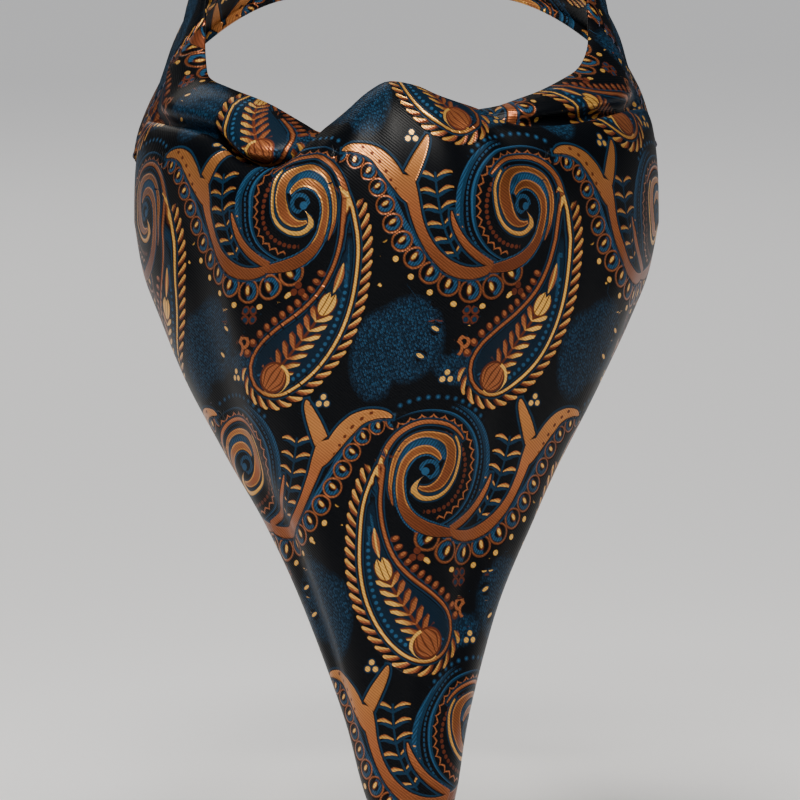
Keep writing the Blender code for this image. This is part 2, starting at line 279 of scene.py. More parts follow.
def swell(t):
    """The share of its full spread that draped cloth has reached at the share t of its drop."""
    return (1 - (1 - np.clip(t, 0.0, 1.0)) ** 3) ** 0.625


def around(angle, radius, height):
    """Points at an angle and radius about the upright axis."""
    a = np.radians(angle)
    return np.stack([radius * np.sin(a), AXIS_Y - radius * np.cos(a), height + 0 * a], axis=-1)


def pleat_step(share):
    """How far the pleated band stands out at a share of its width."""
    within = np.where(share < 1, (share * PLEATS) % 1.0, 1.0)
    rise = PLEAT_DEPTH * within / (1 - PLEAT_LIP)
    lip = np.clip((1 - within) / PLEAT_LIP, 0, 1)
    return np.where(within < 1 - PLEAT_LIP, rise, PLEAT_DEPTH * np.sin(lip * math.pi / 2))


def groove(angle, height):
    """How far a crossing blade dips to pass under the front blade's upper edge."""
    turn = np.abs(angle)
    edge = TOP_T.at("edge_height", angle)
    deep = GROOVE + EDGE_ROLL * TOP_T.at("roll", angle)
    beside = ease(15.0, 26.0, turn) * (1 - ease(83.0, 88.0, turn))
    low = LOW_DIP * (1 - ease(-66.0, -45.0, height))
    under = 1 - ease(0.0, 6.6, height - edge + 0.6)
    return beside * (deep * under + low)


def ring_radius(angle, height):
    """The radius of the ring's layer, straight in the band and swelling out to the front."""
    upper, lower = RING_T.at("upper_height", angle), RING_T.at("lower_height", angle)
    inner, outer = RING_T.at("upper_radius", angle), RING_T.at("lower_radius", angle)
    band = inner + (outer - inner) * np.clip((upper - height) / (upper - lower), 0.0, 1.0)
    middle = 1 - ease(18.0, 26.0, np.abs(angle))
    full = FRONT_T.at("radius", BLEND_HEIGHT) - MIDDLE_DROP * middle
    spread = inner + (full - inner) * swell((upper - height) / (upper - BLEND_HEIGHT))
    front = 1 - ease(70.0, 100.0, np.abs(angle))
    return band + (spread - groove(angle, height) - band) * front


def ring_point(angle, share, lift=0.0):
    """Points of the ring's layer at an angle and a share of its width."""
    upper, lower = RING_T.at("upper_height", angle), RING_T.at("lower_height", angle)
    height = upper + (lower - upper) * share
    pleats = ease(RELEASE_ANGLE, SEAM_ANGLE, np.abs(angle)) * pleat_step(share)
    radius = ring_radius(angle, height) + pleats + lift
    return around(angle, radius, height + lift * (1 - share) ** 2)


def fold_depth(share, height):
    """How far the long folds draw the front blade in at a share of its half width."""
    depth = 0.0
    for middle, spread, deep, start, end in FOLDS:
        along = (1 - ease(start - 30, start, height)) * ease(end - 10, end + 45, height)
        depth = depth + deep * along * np.exp(-(((share - middle) / spread) ** 2))
    return depth


def front_section(share, height, inset=0.0, turn=1.0):
    """Points of the front blade's level sections below the neck, or of a layer inside it."""
    middle, front, radius, edge = (
        FRONT_T.at(c, height) for c in ("middle_x", "front_y", "radius", "edge_turn")
    )
    scale = np.minimum(1.0, radius / 40.0)
    drawn = np.maximum(radius - inset, 0.35 * radius) - fold_depth(share * turn, height) * scale
    a = np.radians(edge * share * turn)
    return np.stack(
        [middle + drawn * np.sin(a), front + radius - drawn * np.cos(a), height + 0 * a], axis=-1
    )


def front_radius(angle, height):
    """The front blade's radius over the neck, kept clear of the blades that cross under it."""
    inner, top = TOP_T.at("form_radius", angle), TOP_T.at("form_height", angle)
    outer = FRONT_T.at("radius", BLEND_HEIGHT)
    form = inner + (outer - inner) * swell((top - height) / (top - BLEND_HEIGHT))
    edge = TOP_T.at("edge_height", angle)
    roll = EDGE_ROLL * TOP_T.at("roll", angle)
    near = np.clip(1 - (edge - height) / 5.0, 0.0, 1.0)
    form = form - roll * (1 - np.sqrt(1 - near * near))
    return form - fold_depth(angle / FRONT_T.at("edge_turn", BLEND_HEIGHT), height)


# ---------------------------------------------------------------- the pieces as grids of points

TUCK_ROWS, ROLL_ROWS, TOP_ROWS, FREE_ROWS = 21, 9, 48, 192
FRONT_COLUMNS = 301
UNDER_COLUMNS, UNDER_ROWS = 151, 151
WRAP_COLUMNS, WRAP_ROWS = 130, 66
BAND_COLUMNS, BAND_ROWS = 241, 67
EASED_ROWS = 12  # the rows under the turn that are smoothed with it
EASE_ROUNDS = 14
LEAST_FILL = 0.31  # the least share of its width by its length that a cut piece covers
COARSE = 3  # the hidden side has one step for this many of the face's


def front_grid():
    """The front blade, a column for each angle and a row for each step down it."""
    angles = np.linspace(-FRONT_ANGLE, FRONT_ANGLE, FRONT_COLUMNS)[:, None]
    edge, tuck = TOP_T.at("edge_height", angles), TOP_T.at("tuck", angles)
    bend = np.maximum(TUCK_RADIUS * np.minimum(1.0, tuck * 1.6), HEM_RADIUS)
    run = TUCK_LENGTH * tuck * tuck + 0.9
    radius = front_radius(angles, edge)
    k = np.arange(TUCK_ROWS)[None, :] / TUCK_ROWS
    tucked = around(angles + 0 * k, radius - bend + 0 * k, edge - bend - run * (1 - k))
    q = np.radians(np.arange(ROLL_ROWS)[None, :] * 90.0 / ROLL_ROWS)
    rolled = around(angles + 0 * q, radius - bend * np.cos(q), edge - bend + bend * np.sin(q))
    k = np.arange(TOP_ROWS)[None, :] / TOP_ROWS
    height = edge + (BLEND_HEIGHT - edge) * k**1.45
    top = around(angles + 0 * k, front_radius(angles, height), height)
    k = np.arange(FREE_ROWS + 1)[None, :] / FREE_ROWS
    height = BLEND_HEIGHT + (FRONT[1][0] - BLEND_HEIGHT) * k
    free = front_section(angles / FRONT_ANGLE, height)
    points = np.concatenate([tucked, rolled, top, free], axis=1)
    rows = TUCK_ROWS + ROLL_ROWS + EASED_ROWS
    share = np.linspace(0.5, 0.1, rows)[None, :, None]
    for _ in range(EASE_ROUNDS):
        beside = (points[:-2, :rows] + points[2:, :rows]) / 2
        points[1:-1, :rows] += (beside - points[1:-1, :rows]) * share
    return points


def under_grid():
    """The under blade, which hangs inside the front one."""
    share = np.linspace(-1.0, 1.0, UNDER_COLUMNS)[:, None]
    height = np.linspace(UNDER_TOP, UNDER_TIP, UNDER_ROWS)[None, :]
    turn = UNDER_SHARE * (0.12 + 0.88 * ease(UNDER_TIP - 2, UNDER_TIP + 60, height))
    return front_section(share, height, UNDER_INSET, turn)


def wrap_shares(angle, rows):
    """The places across a crossing blade, with one row just under the front blade's upper edge."""
    upper, lower = RING_T.at("upper_height", angle), RING_T.at("lower_height", angle)
    at_edge = (upper - TOP_T.at("edge_height", angle) + 0.8) / (upper - lower)
    at_edge = np.minimum(at_edge, 0.6)
    at_edge = (at_edge + EDGE_SHARE + np.hypot(at_edge - EDGE_SHARE, 0.06)) / 2
    above = rows // 2
    k = np.arange(rows + 1)[None, :]
    low = np.clip((k - above) / (rows - above), 0, 1) ** 1.15
    return np.where(k < above, at_edge * k / above, at_edge + (1 - at_edge) * low)


def wrap_grid(side):
    """The blade from the pleated band to the crossing, left for -1 and right for 1."""
    angle = np.linspace(SEAM_ANGLE - SEAM_TURN, -CROSS_ANGLE, WRAP_COLUMNS)[:, None]
    share = wrap_shares(side * angle, WRAP_ROWS)
    lift = LAYER * (1 - ease(16.0, 34.0, angle)) if side > 0 else 0.0
    return ring_point(side * angle + 0 * share, share, lift)


def band_grid():
    """The pleated band round the sides and back of the neck."""
    start = SEAM_ANGLE + SEAM_TURN
    angle = np.linspace(start, 360 - start, BAND_COLUMNS)[:, None]
    angle = np.where(angle <= 180, angle, angle - 360)
    share = np.linspace(0.0, 1.0, BAND_ROWS)[None, :]
    return ring_point(angle + 0 * share, share + 0 * angle)


def stitch_paths():
    """A short arc of thread for each stitch over the two seams, from the band to the blade."""
    paths = []
    turn = np.linspace(STITCH_TURN, -STITCH_TURN, 7)
    lift = 0.2 + 0.45 * np.cos(turn / STITCH_TURN * math.pi / 2) ** 0.6
    for side in (-1, 1):
        for share in np.linspace(0.05, 0.95, STITCHES):
            lean = share - turn * 0.006
            flat = ring_point(side * (SEAM_ANGLE + turn), lean)
            raised = ring_point(side * (SEAM_ANGLE + turn), lean, 1.0)
            paths.append(flat + (raised - flat) * lift[:, None])
    return paths


# ---------------------------------------------------------------- the woven figure, in mm of cloth

REPEAT = 71.5  # from one scroll to the next across the cloth
ROW = 82.0  # from one row of scrolls to the next down it
EVEN_START = 41.1  # where an even row's scroll stands across the cloth
ODD_START = 19.6  # and an odd row's, which is turned left for right
SCROLL_HEIGHT = -58.6  # how high the first row's scroll stands, by the length of the cloth
HANG_START = -71.0  # what that length is where the front blade starts to hang free
LEFT_SHIFT = (0.0, 12.5)  # how the figure lies on the left crossing blade
RIGHT_TURN = (107.7, -41.4, 93.7, -29.2, 28.0)  # and on the right, turned about a place of it
UNDER_SHIFT = 20.0  # and how far across on the under blade
BAND_SHIFT = 30.0  # and on the band
ROUND = 82.5  # the radius by which the crossing blades' angles become mm of cloth
SAG = 8.0  # how far the rows of the figure droop at 100 mm from the middle
GRAIN = 0.104  # how far the threads lean across for each mm down

# The teardrop's outline, from over the scroll round its bulb and back up
TEARDROP = (
    (14.5, 5.2), (15.9, 1.8), (17.9, -3.8), (19.8, -11.0), (20.4, -20.0), (19.8, -30.0),
    (17.4, -39.6), (13.0, -48.2), (7.0, -54.8), (0.4, -58.4), (-5.8, -58.0), (-10.4, -54.4),
    (-11.8, -48.6), (-9.2, -43.0), (-3.6, -38.0), (3.4, -32.8), (9.2, -26.6), (12.8, -18.8),
    (14.3, -11.0), (14.3, -5.0), (14.1, 0.0), (14.3, 4.6),
)
LEAF_PITCH, LEAF_LEAN = 3.35, 0.95  # of its fringe of leaves
FRINGE = (5.0, 89.0)  # where that runs along the outline
BERRY_PITCH, BERRIES = 3.1, (92.0, 128.0)  # and its berries
BEAD_PITCH, BEADS = 2.2, (28.0, 86.0)  # and the beads inside it
# The line through the middles of the scallops under the stem
SCALLOPS = (
    (-59.0, 15.6), (-54.6, 14.2), (-50.0, 10.8), (-46.6, 5.0), (-43.4, -2.0), (-39.6, -8.8),
    (-34.6, -15.0), (-28.4, -20.4), (-21.4, -24.4), (-13.6, -26.0), (-5.6, -24.2), (-1.6, -21.4),
)
SCALLOP_FIRST = 5.0  # the first scallop's breadth
SCALLOP_GROWS = 0.27  # how much broader each next one is
SCALLOP_COUNT = 13.0
SCALLOP_RING = 0.455  # a scallop's copper ring, by the share of its breadth
# The palm frond between the stem and the scroll, and the spray inside the bulb
FROND = ((-20.6, -15.4), (-24.6, -9.0), (-27.4, -1.6), (-28.6, 6.4), (-29.0, 14.6))
SPRAY = (
    (-2.6, -52.6), (0.6, -48.0), (4.6, -42.4), (8.6, -36.6), (12.4, -30.0), (15.2, -22.4),
    (16.4, -14.0),
)
# Broad copper strokes: the place that each bends about, and points with half widths
STROKES = (
    ((0.0, 0.0), (  # the stem
        (-38.0, 9.4, 2.3), (-36.8, 4.6, 2.1), (-35.0, -2.0, 1.6), (-31.8, -9.2, 1.4),
        (-26.8, -15.6, 1.6), (-20.8, -19.6, 1.9), (-14.4, -20.6, 1.7), (-8.8, -19.2, 1.3),
    )),
    ((-58.0, 28.0), (  # the short prong of the fork
        (-30.9, 22.0, 0.2), (-31.3, 20.6, 0.9), (-32.5, 17.8, 1.5), (-34.4, 14.0, 2.0),
        (-36.8, 9.2, 2.3),
    )),
    ((-58.0, -6.0), (  # its long horn
        (-58.4, 17.0, 0.2), (-57.0, 17.5, 0.8), (-54.0, 17.8, 1.3), (-49.0, 16.6, 2.0),
        (-44.6, 13.0, 2.6), (-41.0, 8.2, 2.4), (-37.4, 1.4, 0.5),
    )),
    ((0.0, 0.0), (  # the thin arm beside the scroll
        (-23.8, -1.6, 0.15), (-23.0, -4.4, 0.6), (-21.2, -8.0, 0.9), (-17.6, -12.4, 1.1),
        (-13.0, -15.8, 1.2), (-8.4, -18.0, 1.0),
    )),
)
STROKES_MIDDLE = (-34.0, -1.0)  # the place that they are measured from
STROKES_REACH = 33.0  # and how far they reach from it
# The scroll's own arms, clockwise about its middle and each less than one turn long
ARMS = (
    (  # the outer arm, from the stem round under the scroll and up into its middle
        (-9.0, -19.2, 1.2), (-4.6, -18.6, 1.6), (0.2, -17.4, 1.9), (4.6, -14.6, 1.75),
        (7.4, -10.4, 1.45), (8.5, -5.6, 1.2), (8.6, -0.8, 1.1), (7.4, 3.4, 1.25),
        (4.9, 6.1, 1.35), (1.6, 7.0, 1.25), (-1.3, 5.9, 0.95), (-3.0, 3.8, 0.35),
    ),
    (  # the inner arm, from the hook round the left and over the top to the right side
        (2.9, -4.7, 0.5), (0.2, -5.3, 1.0), (-2.9, -4.1, 1.5), (-5.2, -1.1, 1.75),
        (-6.3, 2.8, 1.85), (-6.2, 6.7, 1.7), (-4.1, 9.9, 1.35), (-0.4, 11.4, 1.0),
        (4.0, 11.4, 0.85), (7.8, 9.4, 0.8), (10.3, 5.4, 0.75), (11.4, 0.2, 0.65),
        (11.5, -5.6, 0.5), (10.4, -10.4, 0.1),
    ),
    (  # the bright line that starts in the hook and follows the inner arm outside
        (2.8, -2.2, 0.25), (4.0, -3.9, 0.55), (3.9, -6.2, 0.75), (1.9, -8.0, 0.7),
        (-1.4, -8.2, 0.6), (-5.0, -6.6, 0.5), (-8.0, -3.0, 0.45), (-9.4, 1.8, 0.45),
        (-9.3, 6.8, 0.4), (-7.2, 10.8, 0.3),
    ),
    (  # the line over the scroll that runs into the teardrop
        (-10.4, 9.8, 0.25), (-8.0, 12.3, 0.4), (-4.4, 14.5, 0.5), (0.0, 15.5, 0.55),
        (4.6, 15.2, 0.6), (8.6, 13.4, 0.65), (11.6, 10.7, 0.7), (13.5, 7.6, 0.75),
        (14.5, 4.8, 0.75), (14.9, 3.0, 0.6),
    ),
)
FROND_PITCH, SPRAY_PITCH = 4.9, 3.5  # of their leaves
# The halo round the scroll, each part by its distance from the scroll's middle
CROWN_BEADS, CROWN, INNER_CRESCENT = 12.4, 15.9, 16.9
DASHES, CRESCENT, PEARL_RING = 18.9, 21.4, 23.3
HALO_OPENS = 1.3  # how much farther out it lies for each radian over the scroll
TWILL = 6.2  # radians of the twill for each mm down
# Small devices: across, down and which one
SEED, SEEDS, BLOSSOM, DROP, LOW_DROP, PEARLS, SPROUT = range(1, 8)
DEVICES = (
    (-14.0, -33.4, BLOSSOM), (2.4, -25.6, PEARLS), (-19.6, -52.4, SEEDS), (14.6, -60.4, SEEDS),
    (26.4, -16.0, SEED), (27.8, -24.0, SEED), (-35.0, -22.4, SEED), (-25.6, -29.0, SEED),
    (-25.0, -37.6, DROP), (-28.6, -46.0, LOW_DROP), (-15.6, -43.0, SPROUT),
)
DEVICE_REACH = 3.3  # how far from its place any of them is drawn
# Where the ground is strewn with short dashes: across, down and the two half sizes
STREWN = ((-33.0, -41.0, 14.0, 17.0), (30.0, -46.0, 11.0, 18.0), (-8.0, 32.0, 13.0, 7.0))
FAR = 9.0  # what a measure says out of its line's reach
FAR_OFF = (30.0, 30.0, 42.0)  # and a place that no scroll or stem reaches: across, up and away
UNIT = ((-70.0, 36.0), (-70.0, 44.0))  # what one unit of the figure covers, across and down


def line_through(points, steps=8):
    """A smooth line through points, as many short steps."""
    p = np.array(points, float)
    p = np.concatenate([[2 * p[0] - p[1]], p, [2 * p[-1] - p[-2]]])
    t = np.arange(steps)[:, None] / steps
    out = []
    for a, b, c, d in zip(p, p[1:], p[2:], p[3:]):
        out.append(
            0.5 * (2 * b + (c - a) * t + (2 * a - 5 * b + 4 * c - d) * t**2
                   + (3 * b - a - 3 * c + d) * t**3)
        )
    return np.concatenate(out + [p[-2][None]])


def beside_line(line, x, y):
    """For each point: how far along the line it is, how far to its left, and how far off."""
    a, b = line[:-1], line[1:]
    step = b - a
    length = np.hypot(step[:, 0], step[:, 1])
    start = np.concatenate([[0], np.cumsum(length)[:-1]])
    ux, uy = step[:, 0] / length, step[:, 1] / length
    dx, dy = x[:, None] - a[None, :, 0], y[:, None] - a[None, :, 1]
    along = dx * ux + dy * uy
    held = np.clip(along, 0, length)
    gap = np.hypot(dx - held * ux, dy - held * uy)
    i = gap.argmin(axis=1)
    n = np.arange(len(x))
    t = along[n, i]
    t = np.where((i > 0) & (t < 0), 0, t)
    t = np.where((i < len(a) - 1) & (t > length[i]), length[i], t)
    left = ux[i] * dy[n, i] - uy[i] * dx[n, i]
    gap = gap[n, i]
    left = np.where(left < 0, -1, 1) * np.where(
        (t >= 0) & (t <= length[i]), gap, np.abs(left)
    )
    return start[i] + t, left, gap


def close_to(line, x, y):
    """The points that are near enough to a line to be measured from it."""
    low, high = line[:, :2].min(axis=0) - FAR, line[:, :2].max(axis=0) + FAR
    return np.flatnonzero((x > low[0]) & (x < high[0]) & (y > low[1]) & (y < high[1]))


class Figure:
    """The woven figure's own measures at points of the cloth, from which its colours are drawn."""

    def __init__(self, across, down):
        self.u = across + GRAIN * np.maximum(SCROLL_HEIGHT - down, 0.0)
        self.v = down.astype(float)
        count = len(self.u)
        self.teardrop = self.empty(count, FAR)
        self.scallop = self.empty(count, FAR)
        self.frond = self.empty(count, FAR)
        self.spray = self.empty(count, FAR)
        self.scroll = np.tile(FAR_OFF, (count, 1))
        self.fork = np.tile(FAR_OFF, (count, 1))
        self.device = self.empty(count, 0.0)
        self.ground = np.tile([FAR, 0.0, FAR], (count, 1))
        self.lines = {
            name: line_through(points)
            for name, points in
            (("teardrop", TEARDROP), ("scallop", SCALLOPS), ("frond", FROND), ("spray", SPRAY))
        }
        self.strokes = [line_through(points)[:, :2] for _, points in STROKES]
        low_v, high_v = self.v.min() - 30, self.v.max() + 70
        for row in range(math.floor((SCROLL_HEIGHT - high_v) / ROW),
                         math.ceil((SCROLL_HEIGHT - low_v) / ROW) + 1):
            turn = -1 if row % 2 else 1
            first = ODD_START if row % 2 else EVEN_START
            low = math.floor((self.u.min() - 70 - first) / REPEAT)
            high = math.ceil((self.u.max() + 70 - first) / REPEAT)
            for column in range(low, high + 1):
                self.lay(first + column * REPEAT, SCROLL_HEIGHT - ROW * row, turn)

    @staticmethod
    def empty(count, last):
        return np.tile([0.0, -FAR, last], (count, 1))

    def lay(self, u, v, turn):
        """One unit of the figure, with its scroll at u and v."""
        x, y = turn * (self.u - u), self.v - v
        (left, right), (low, high) = UNIT
        near = np.flatnonzero((x > left) & (x < right) & (y > low) & (y < high))
        if not len(near):
            return
        x, y = x[near], y[near]
        for name, line in self.lines.items():
            held, part = getattr(self, name), close_to(line, x, y)
            along, beside, gap = beside_line(line, x[part], y[part])
            closer = gap < held[near[part], 2]
            at = near[part][closer]
            held[at] = np.stack([along, beside, gap], axis=1)[closer]
            self.ground[near[part], 2] = np.minimum(self.ground[near[part], 2], gap)
        for held, (cx, cy) in ((self.scroll, (0.0, 0.0)), (self.fork, STROKES_MIDDLE)):
            r = np.hypot(x - cx, y - cy)
            closer = r < held[near, 2]
            held[near[closer]] = np.stack([x - cx, y - cy, r], axis=1)[closer]
        for line in self.strokes:
            part = close_to(line, x, y)
            gap = beside_line(line, x[part], y[part])[2] - 1.6
            self.ground[near[part], 2] = np.minimum(self.ground[near[part], 2], gap)
        self.ground[near, 2] = np.minimum(self.ground[near, 2], np.hypot(x, y) - 24.0)
        for dx, dy, kind in DEVICES:
            gap = np.hypot(x - dx, y - dy)
            closer = gap < self.ground[near, 0]
            at = near[closer]
            self.device[at] = np.stack([x - dx, y - dy, kind + 0 * x], axis=1)[closer]
            self.ground[at, 0] = gap[closer]
        for cx, cy, wide, tall in STREWN:
            inside = 1.4 - np.hypot((x - cx) / wide, (y - cy) / tall) * 1.4
            self.ground[near, 1] = np.maximum(self.ground[near, 1], inside)

    def measures(self):
        """Each named measure, ready to be kept on a mesh."""
        along = np.maximum(self.scallop[:, 0], -8.0)
        first, grows = SCALLOP_FIRST, SCALLOP_GROWS
        count = (np.sqrt(np.maximum(first * first + 2 * grows * along, 0.04)) - first) / grows
        scallop = np.stack([count, self.scallop[:, 1], self.scallop[:, 2]], axis=1)
        return {
            "teardrop": self.teardrop, "scallop": scallop, "frond": self.frond,
            "spray": self.spray, "scroll": self.scroll, "fork": self.fork,
            "device": self.device, "ground": self.ground,
        }


# ---------------------------------------------------------------- cloth shells

def grid_normals(points):
    """The outward direction at each point of a grid, from the points beside it."""
    n = np.cross(np.gradient(points, axis=0), np.gradient(points, axis=1))
    return n / np.maximum(np.linalg.norm(n, axis=2, keepdims=True), 1e-9)


def creased(points, across, down, creases):
    """The grid with the listed soft creases pressed into it."""
    depth = np.zeros(across.shape)
    for u0, v0, u1, v1, wide, deep in creases:
        length = math.hypot(u1 - u0, v1 - v0)
        ux, uy = (u1 - u0) / length, (v1 - v0) / length
        along = ((across - u0) * ux + (down - v0) * uy) / length
        off = (across - u0) * uy - (down - v0) * ux
        off = off + CREASE_BOW * length * np.sin(np.clip(along, 0, 1) * math.pi)
        swell_out = wide * (0.7 + 0.7 * np.clip(along, 0, 1))
        run = ease(-0.12, 0.22, along) * (1 - ease(0.5, 1.12, along))
        depth += deep * run * np.exp(-((off / swell_out) ** 2))
    return points - grid_normals(points) * depth[..., None]


def rim_order(columns, rows, step=1):
    """The border of a grid in order, as index pairs."""
    i = list(range(0, columns, step))
    j = list(range(0, rows, step))
    border = [(a, 0) for a in i] + [(columns - 1, b) for b in j[1:]]
    border += [(a, rows - 1) for a in i[-2::-1]] + [(0, b) for b in j[-2:0:-1]]
    return border


def placed(name, data):
    """A new object in the scene that shows the data."""
    thing = bpy.data.objects.new(name, data)
    bpy.context.scene.collection.objects.link(thing)
    return thing


def smooth_thing(name, verts, faces):
    """A new smooth-shaded object in the scene."""
    mesh = bpy.data.meshes.new(name)
    mesh.from_pydata(verts.tolist(), [], faces)
    mesh.update()
    mesh.polygons.foreach_set("use_smooth", np.ones(len(mesh.polygons), bool))
    return placed(name, mesh)


def cloth_shell(name, points, across, down, wall, flip=False):
    """One closed piece of cloth: a fine face, a rounded rim and a coarser hidden side."""
    columns, rows = points.shape[:2]
    n = grid_normals(points) * (-1 if flip else 1)
    face = (points + n * wall / 2).reshape(-1, 3)
    back = (points - n * wall / 2)[::COARSE, ::COARSE]
    back_columns, back_rows = back.shape[:2]
    border = rim_order(columns, rows)
    index = np.array(border)
    edge = points[index[:, 0], index[:, 1]]
    inside = np.array([
        (min(max(i, 1), columns - 2), min(max(j, 1), rows - 2)) for i, j in border
    ])
    out = edge - points[inside[:, 0], inside[:, 1]]
    out /= np.maximum(np.linalg.norm(out, axis=1, keepdims=True), 1e-9)
    edge_n = n[index[:, 0], index[:, 1]]
    rings = []
    for turn in (45.0, 90.0, 135.0):
        q = math.radians(turn)
        rings.append(edge + edge_n * (wall / 2 * math.cos(q)) + out * (RIM * math.sin(q)))
    verts = np.concatenate([face] + rings + [back.reshape(-1, 3)]) * MM
    start = [len(face) + k * len(border) for k in range(3)]
    back_start = start[2] + len(border)

    def at(i, j):
        return i * rows + j

    i, j = np.meshgrid(np.arange(columns - 1), np.arange(rows - 1), indexing="ij")
    quads = np.stack([at(i, j), at(i + 1, j), at(i + 1, j + 1), at(i, j + 1)], axis=-1)
    faces = [tuple(q) for q in quads.reshape(-1, 4)[:, ::-1].tolist()]
    i, j = np.meshgrid(np.arange(back_columns - 1), np.arange(back_rows - 1), indexing="ij")
    low = back_start + i * back_rows + j
    quads = np.stack([low, low + back_rows, low + back_rows + 1, low + 1], axis=-1)
    faces += [tuple(q) for q in quads.reshape(-1, 4).tolist()]
    loops = [[at(a, b) for a, b in border]]
    loops += [[s + k for k in range(len(border))] for s in start]
    for low, high in zip(loops, loops[1:]):
        for k in range(len(border)):
            m = (k + 1) % len(border)
            faces.append((low[k], low[m], high[m], high[k]))
    coarse = rim_order(columns, rows, COARSE)
    where = {pair: k for k, pair in enumerate(border)}
    for k, pair in enumerate(coarse):
        after = coarse[(k + 1) % len(coarse)]
        first, last = where[pair], where[after]
        last = last if last > first else last + len(border)
        fine = [loops[3][m % len(border)] for m in range(first, last + 1)]
        ends = [back_start + p[0] // COARSE * back_rows + p[1] // COARSE for p in (after, pair)]
        faces.append(tuple(fine + ends))
    if flip:
        faces = [f[::-1] for f in faces]

    def on_all(values):
        ring = values[index[:, 0], index[:, 1]]
        hidden = values[::COARSE, ::COARSE].reshape(-1)
        return np.concatenate([values.reshape(-1)] + [ring] * 3 + [hidden])

    thing = smooth_thing(name, verts, faces)
    mesh = thing.data
    u, v = on_all(across), on_all(down)
    for label, values in Figure(u, v).measures().items():
        layer = mesh.attributes.new(label, "FLOAT_VECTOR", "POINT")
        layer.data.foreach_set("vector", values.astype(np.float32).ravel())
    vertex = np.zeros(len(mesh.loops), np.int32)
    mesh.loops.foreach_get("vertex_index", vertex)
    weave = mesh.uv_layers.new(name="weave")
    weave.data.foreach_set("uv", np.stack([u, v], axis=1)[vertex].astype(np.float32).ravel())
    return thing


def threads(name, paths, radius, sides=6):
    """Short round threads along paths, as one piece."""
    turn = np.linspace(0, 2 * math.pi, sides, endpoint=False)[None, :, None]
    verts, faces = [], []
    for path in paths:
        along = np.gradient(path, axis=0)
        beside = np.cross(along, (0.0, 0.0, 1.0))
        beside /= np.linalg.norm(beside, axis=1, keepdims=True)
        above = np.cross(beside, along)
        above /= np.linalg.norm(above, axis=1, keepdims=True)
        ring = np.cos(turn) * beside[:, None] + np.sin(turn) * above[:, None]
        thick = radius * np.sin(np.linspace(0.5, math.pi - 0.5, len(path))) ** 0.5
        start = len(verts)
        verts += (path[:, None] + ring * thick[:, None, None]).reshape(-1, 3).tolist()
        for k in range(len(path) - 1):
            low = start + k * sides
            for m in range(sides):
                n = (m + 1) % sides
                faces.append((low + m, low + n, low + sides + n, low + sides + m))
        faces.append(tuple(range(start, start + sides))[::-1])
        faces.append(tuple(range(len(verts) - sides, len(verts))))
    return smooth_thing(name, np.array(verts) * MM, faces)


def turned(across, down, from_u, from_v, to_u, to_v, degrees):
    """The lie of the figure where the cloth is turned about one place of it."""
    a = math.radians(degrees)
    x, y = across - from_u, down - from_v
    return to_u + x * math.cos(a) + y * math.sin(a), to_v - x * math.sin(a) + y * math.cos(a)


def run_down(points):
    """The length of cloth down each column from its first row."""
    step = np.linalg.norm(np.diff(points, axis=1), axis=2)
    return np.concatenate([np.zeros((len(points), 1)), np.cumsum(step, axis=1)], axis=1)


def run_across(points):
    """The length of cloth along each row from its first column."""
    step = np.linalg.norm(np.diff(points, axis=0), axis=2)
    return np.concatenate([np.zeros((1, points.shape[1])), np.cumsum(step, axis=0)])


# ---------------------------------------------------------------- materials

def sums(operation):
    """An operator's two methods: one for the value before it, and one for the value after it."""
    return (
        lambda self, other: self.paint.math(operation, self, other),
        lambda self, other: self.paint.math(operation, other, self),
    )


class Value:
    """A socket that can be used in sums, which add the Math nodes they need."""

    def __init__(self, paint, socket):
        self.paint, self.socket = paint, socket

    __add__, __radd__ = sums("ADD")
    __sub__, __rsub__ = sums("SUBTRACT")
    __mul__, __rmul__ = sums("MULTIPLY")
    __truediv__, __rtruediv__ = sums("DIVIDE")
    __pow__, __rpow__ = sums("POWER")
    __and__, __rand__ = sums("MINIMUM")
    __or__, __ror__ = sums("MAXIMUM")

    def __neg__(self):
        return self.paint.math("MULTIPLY", self, -1.0)

    def __abs__(self):
        return self.paint.math("ABSOLUTE", self)


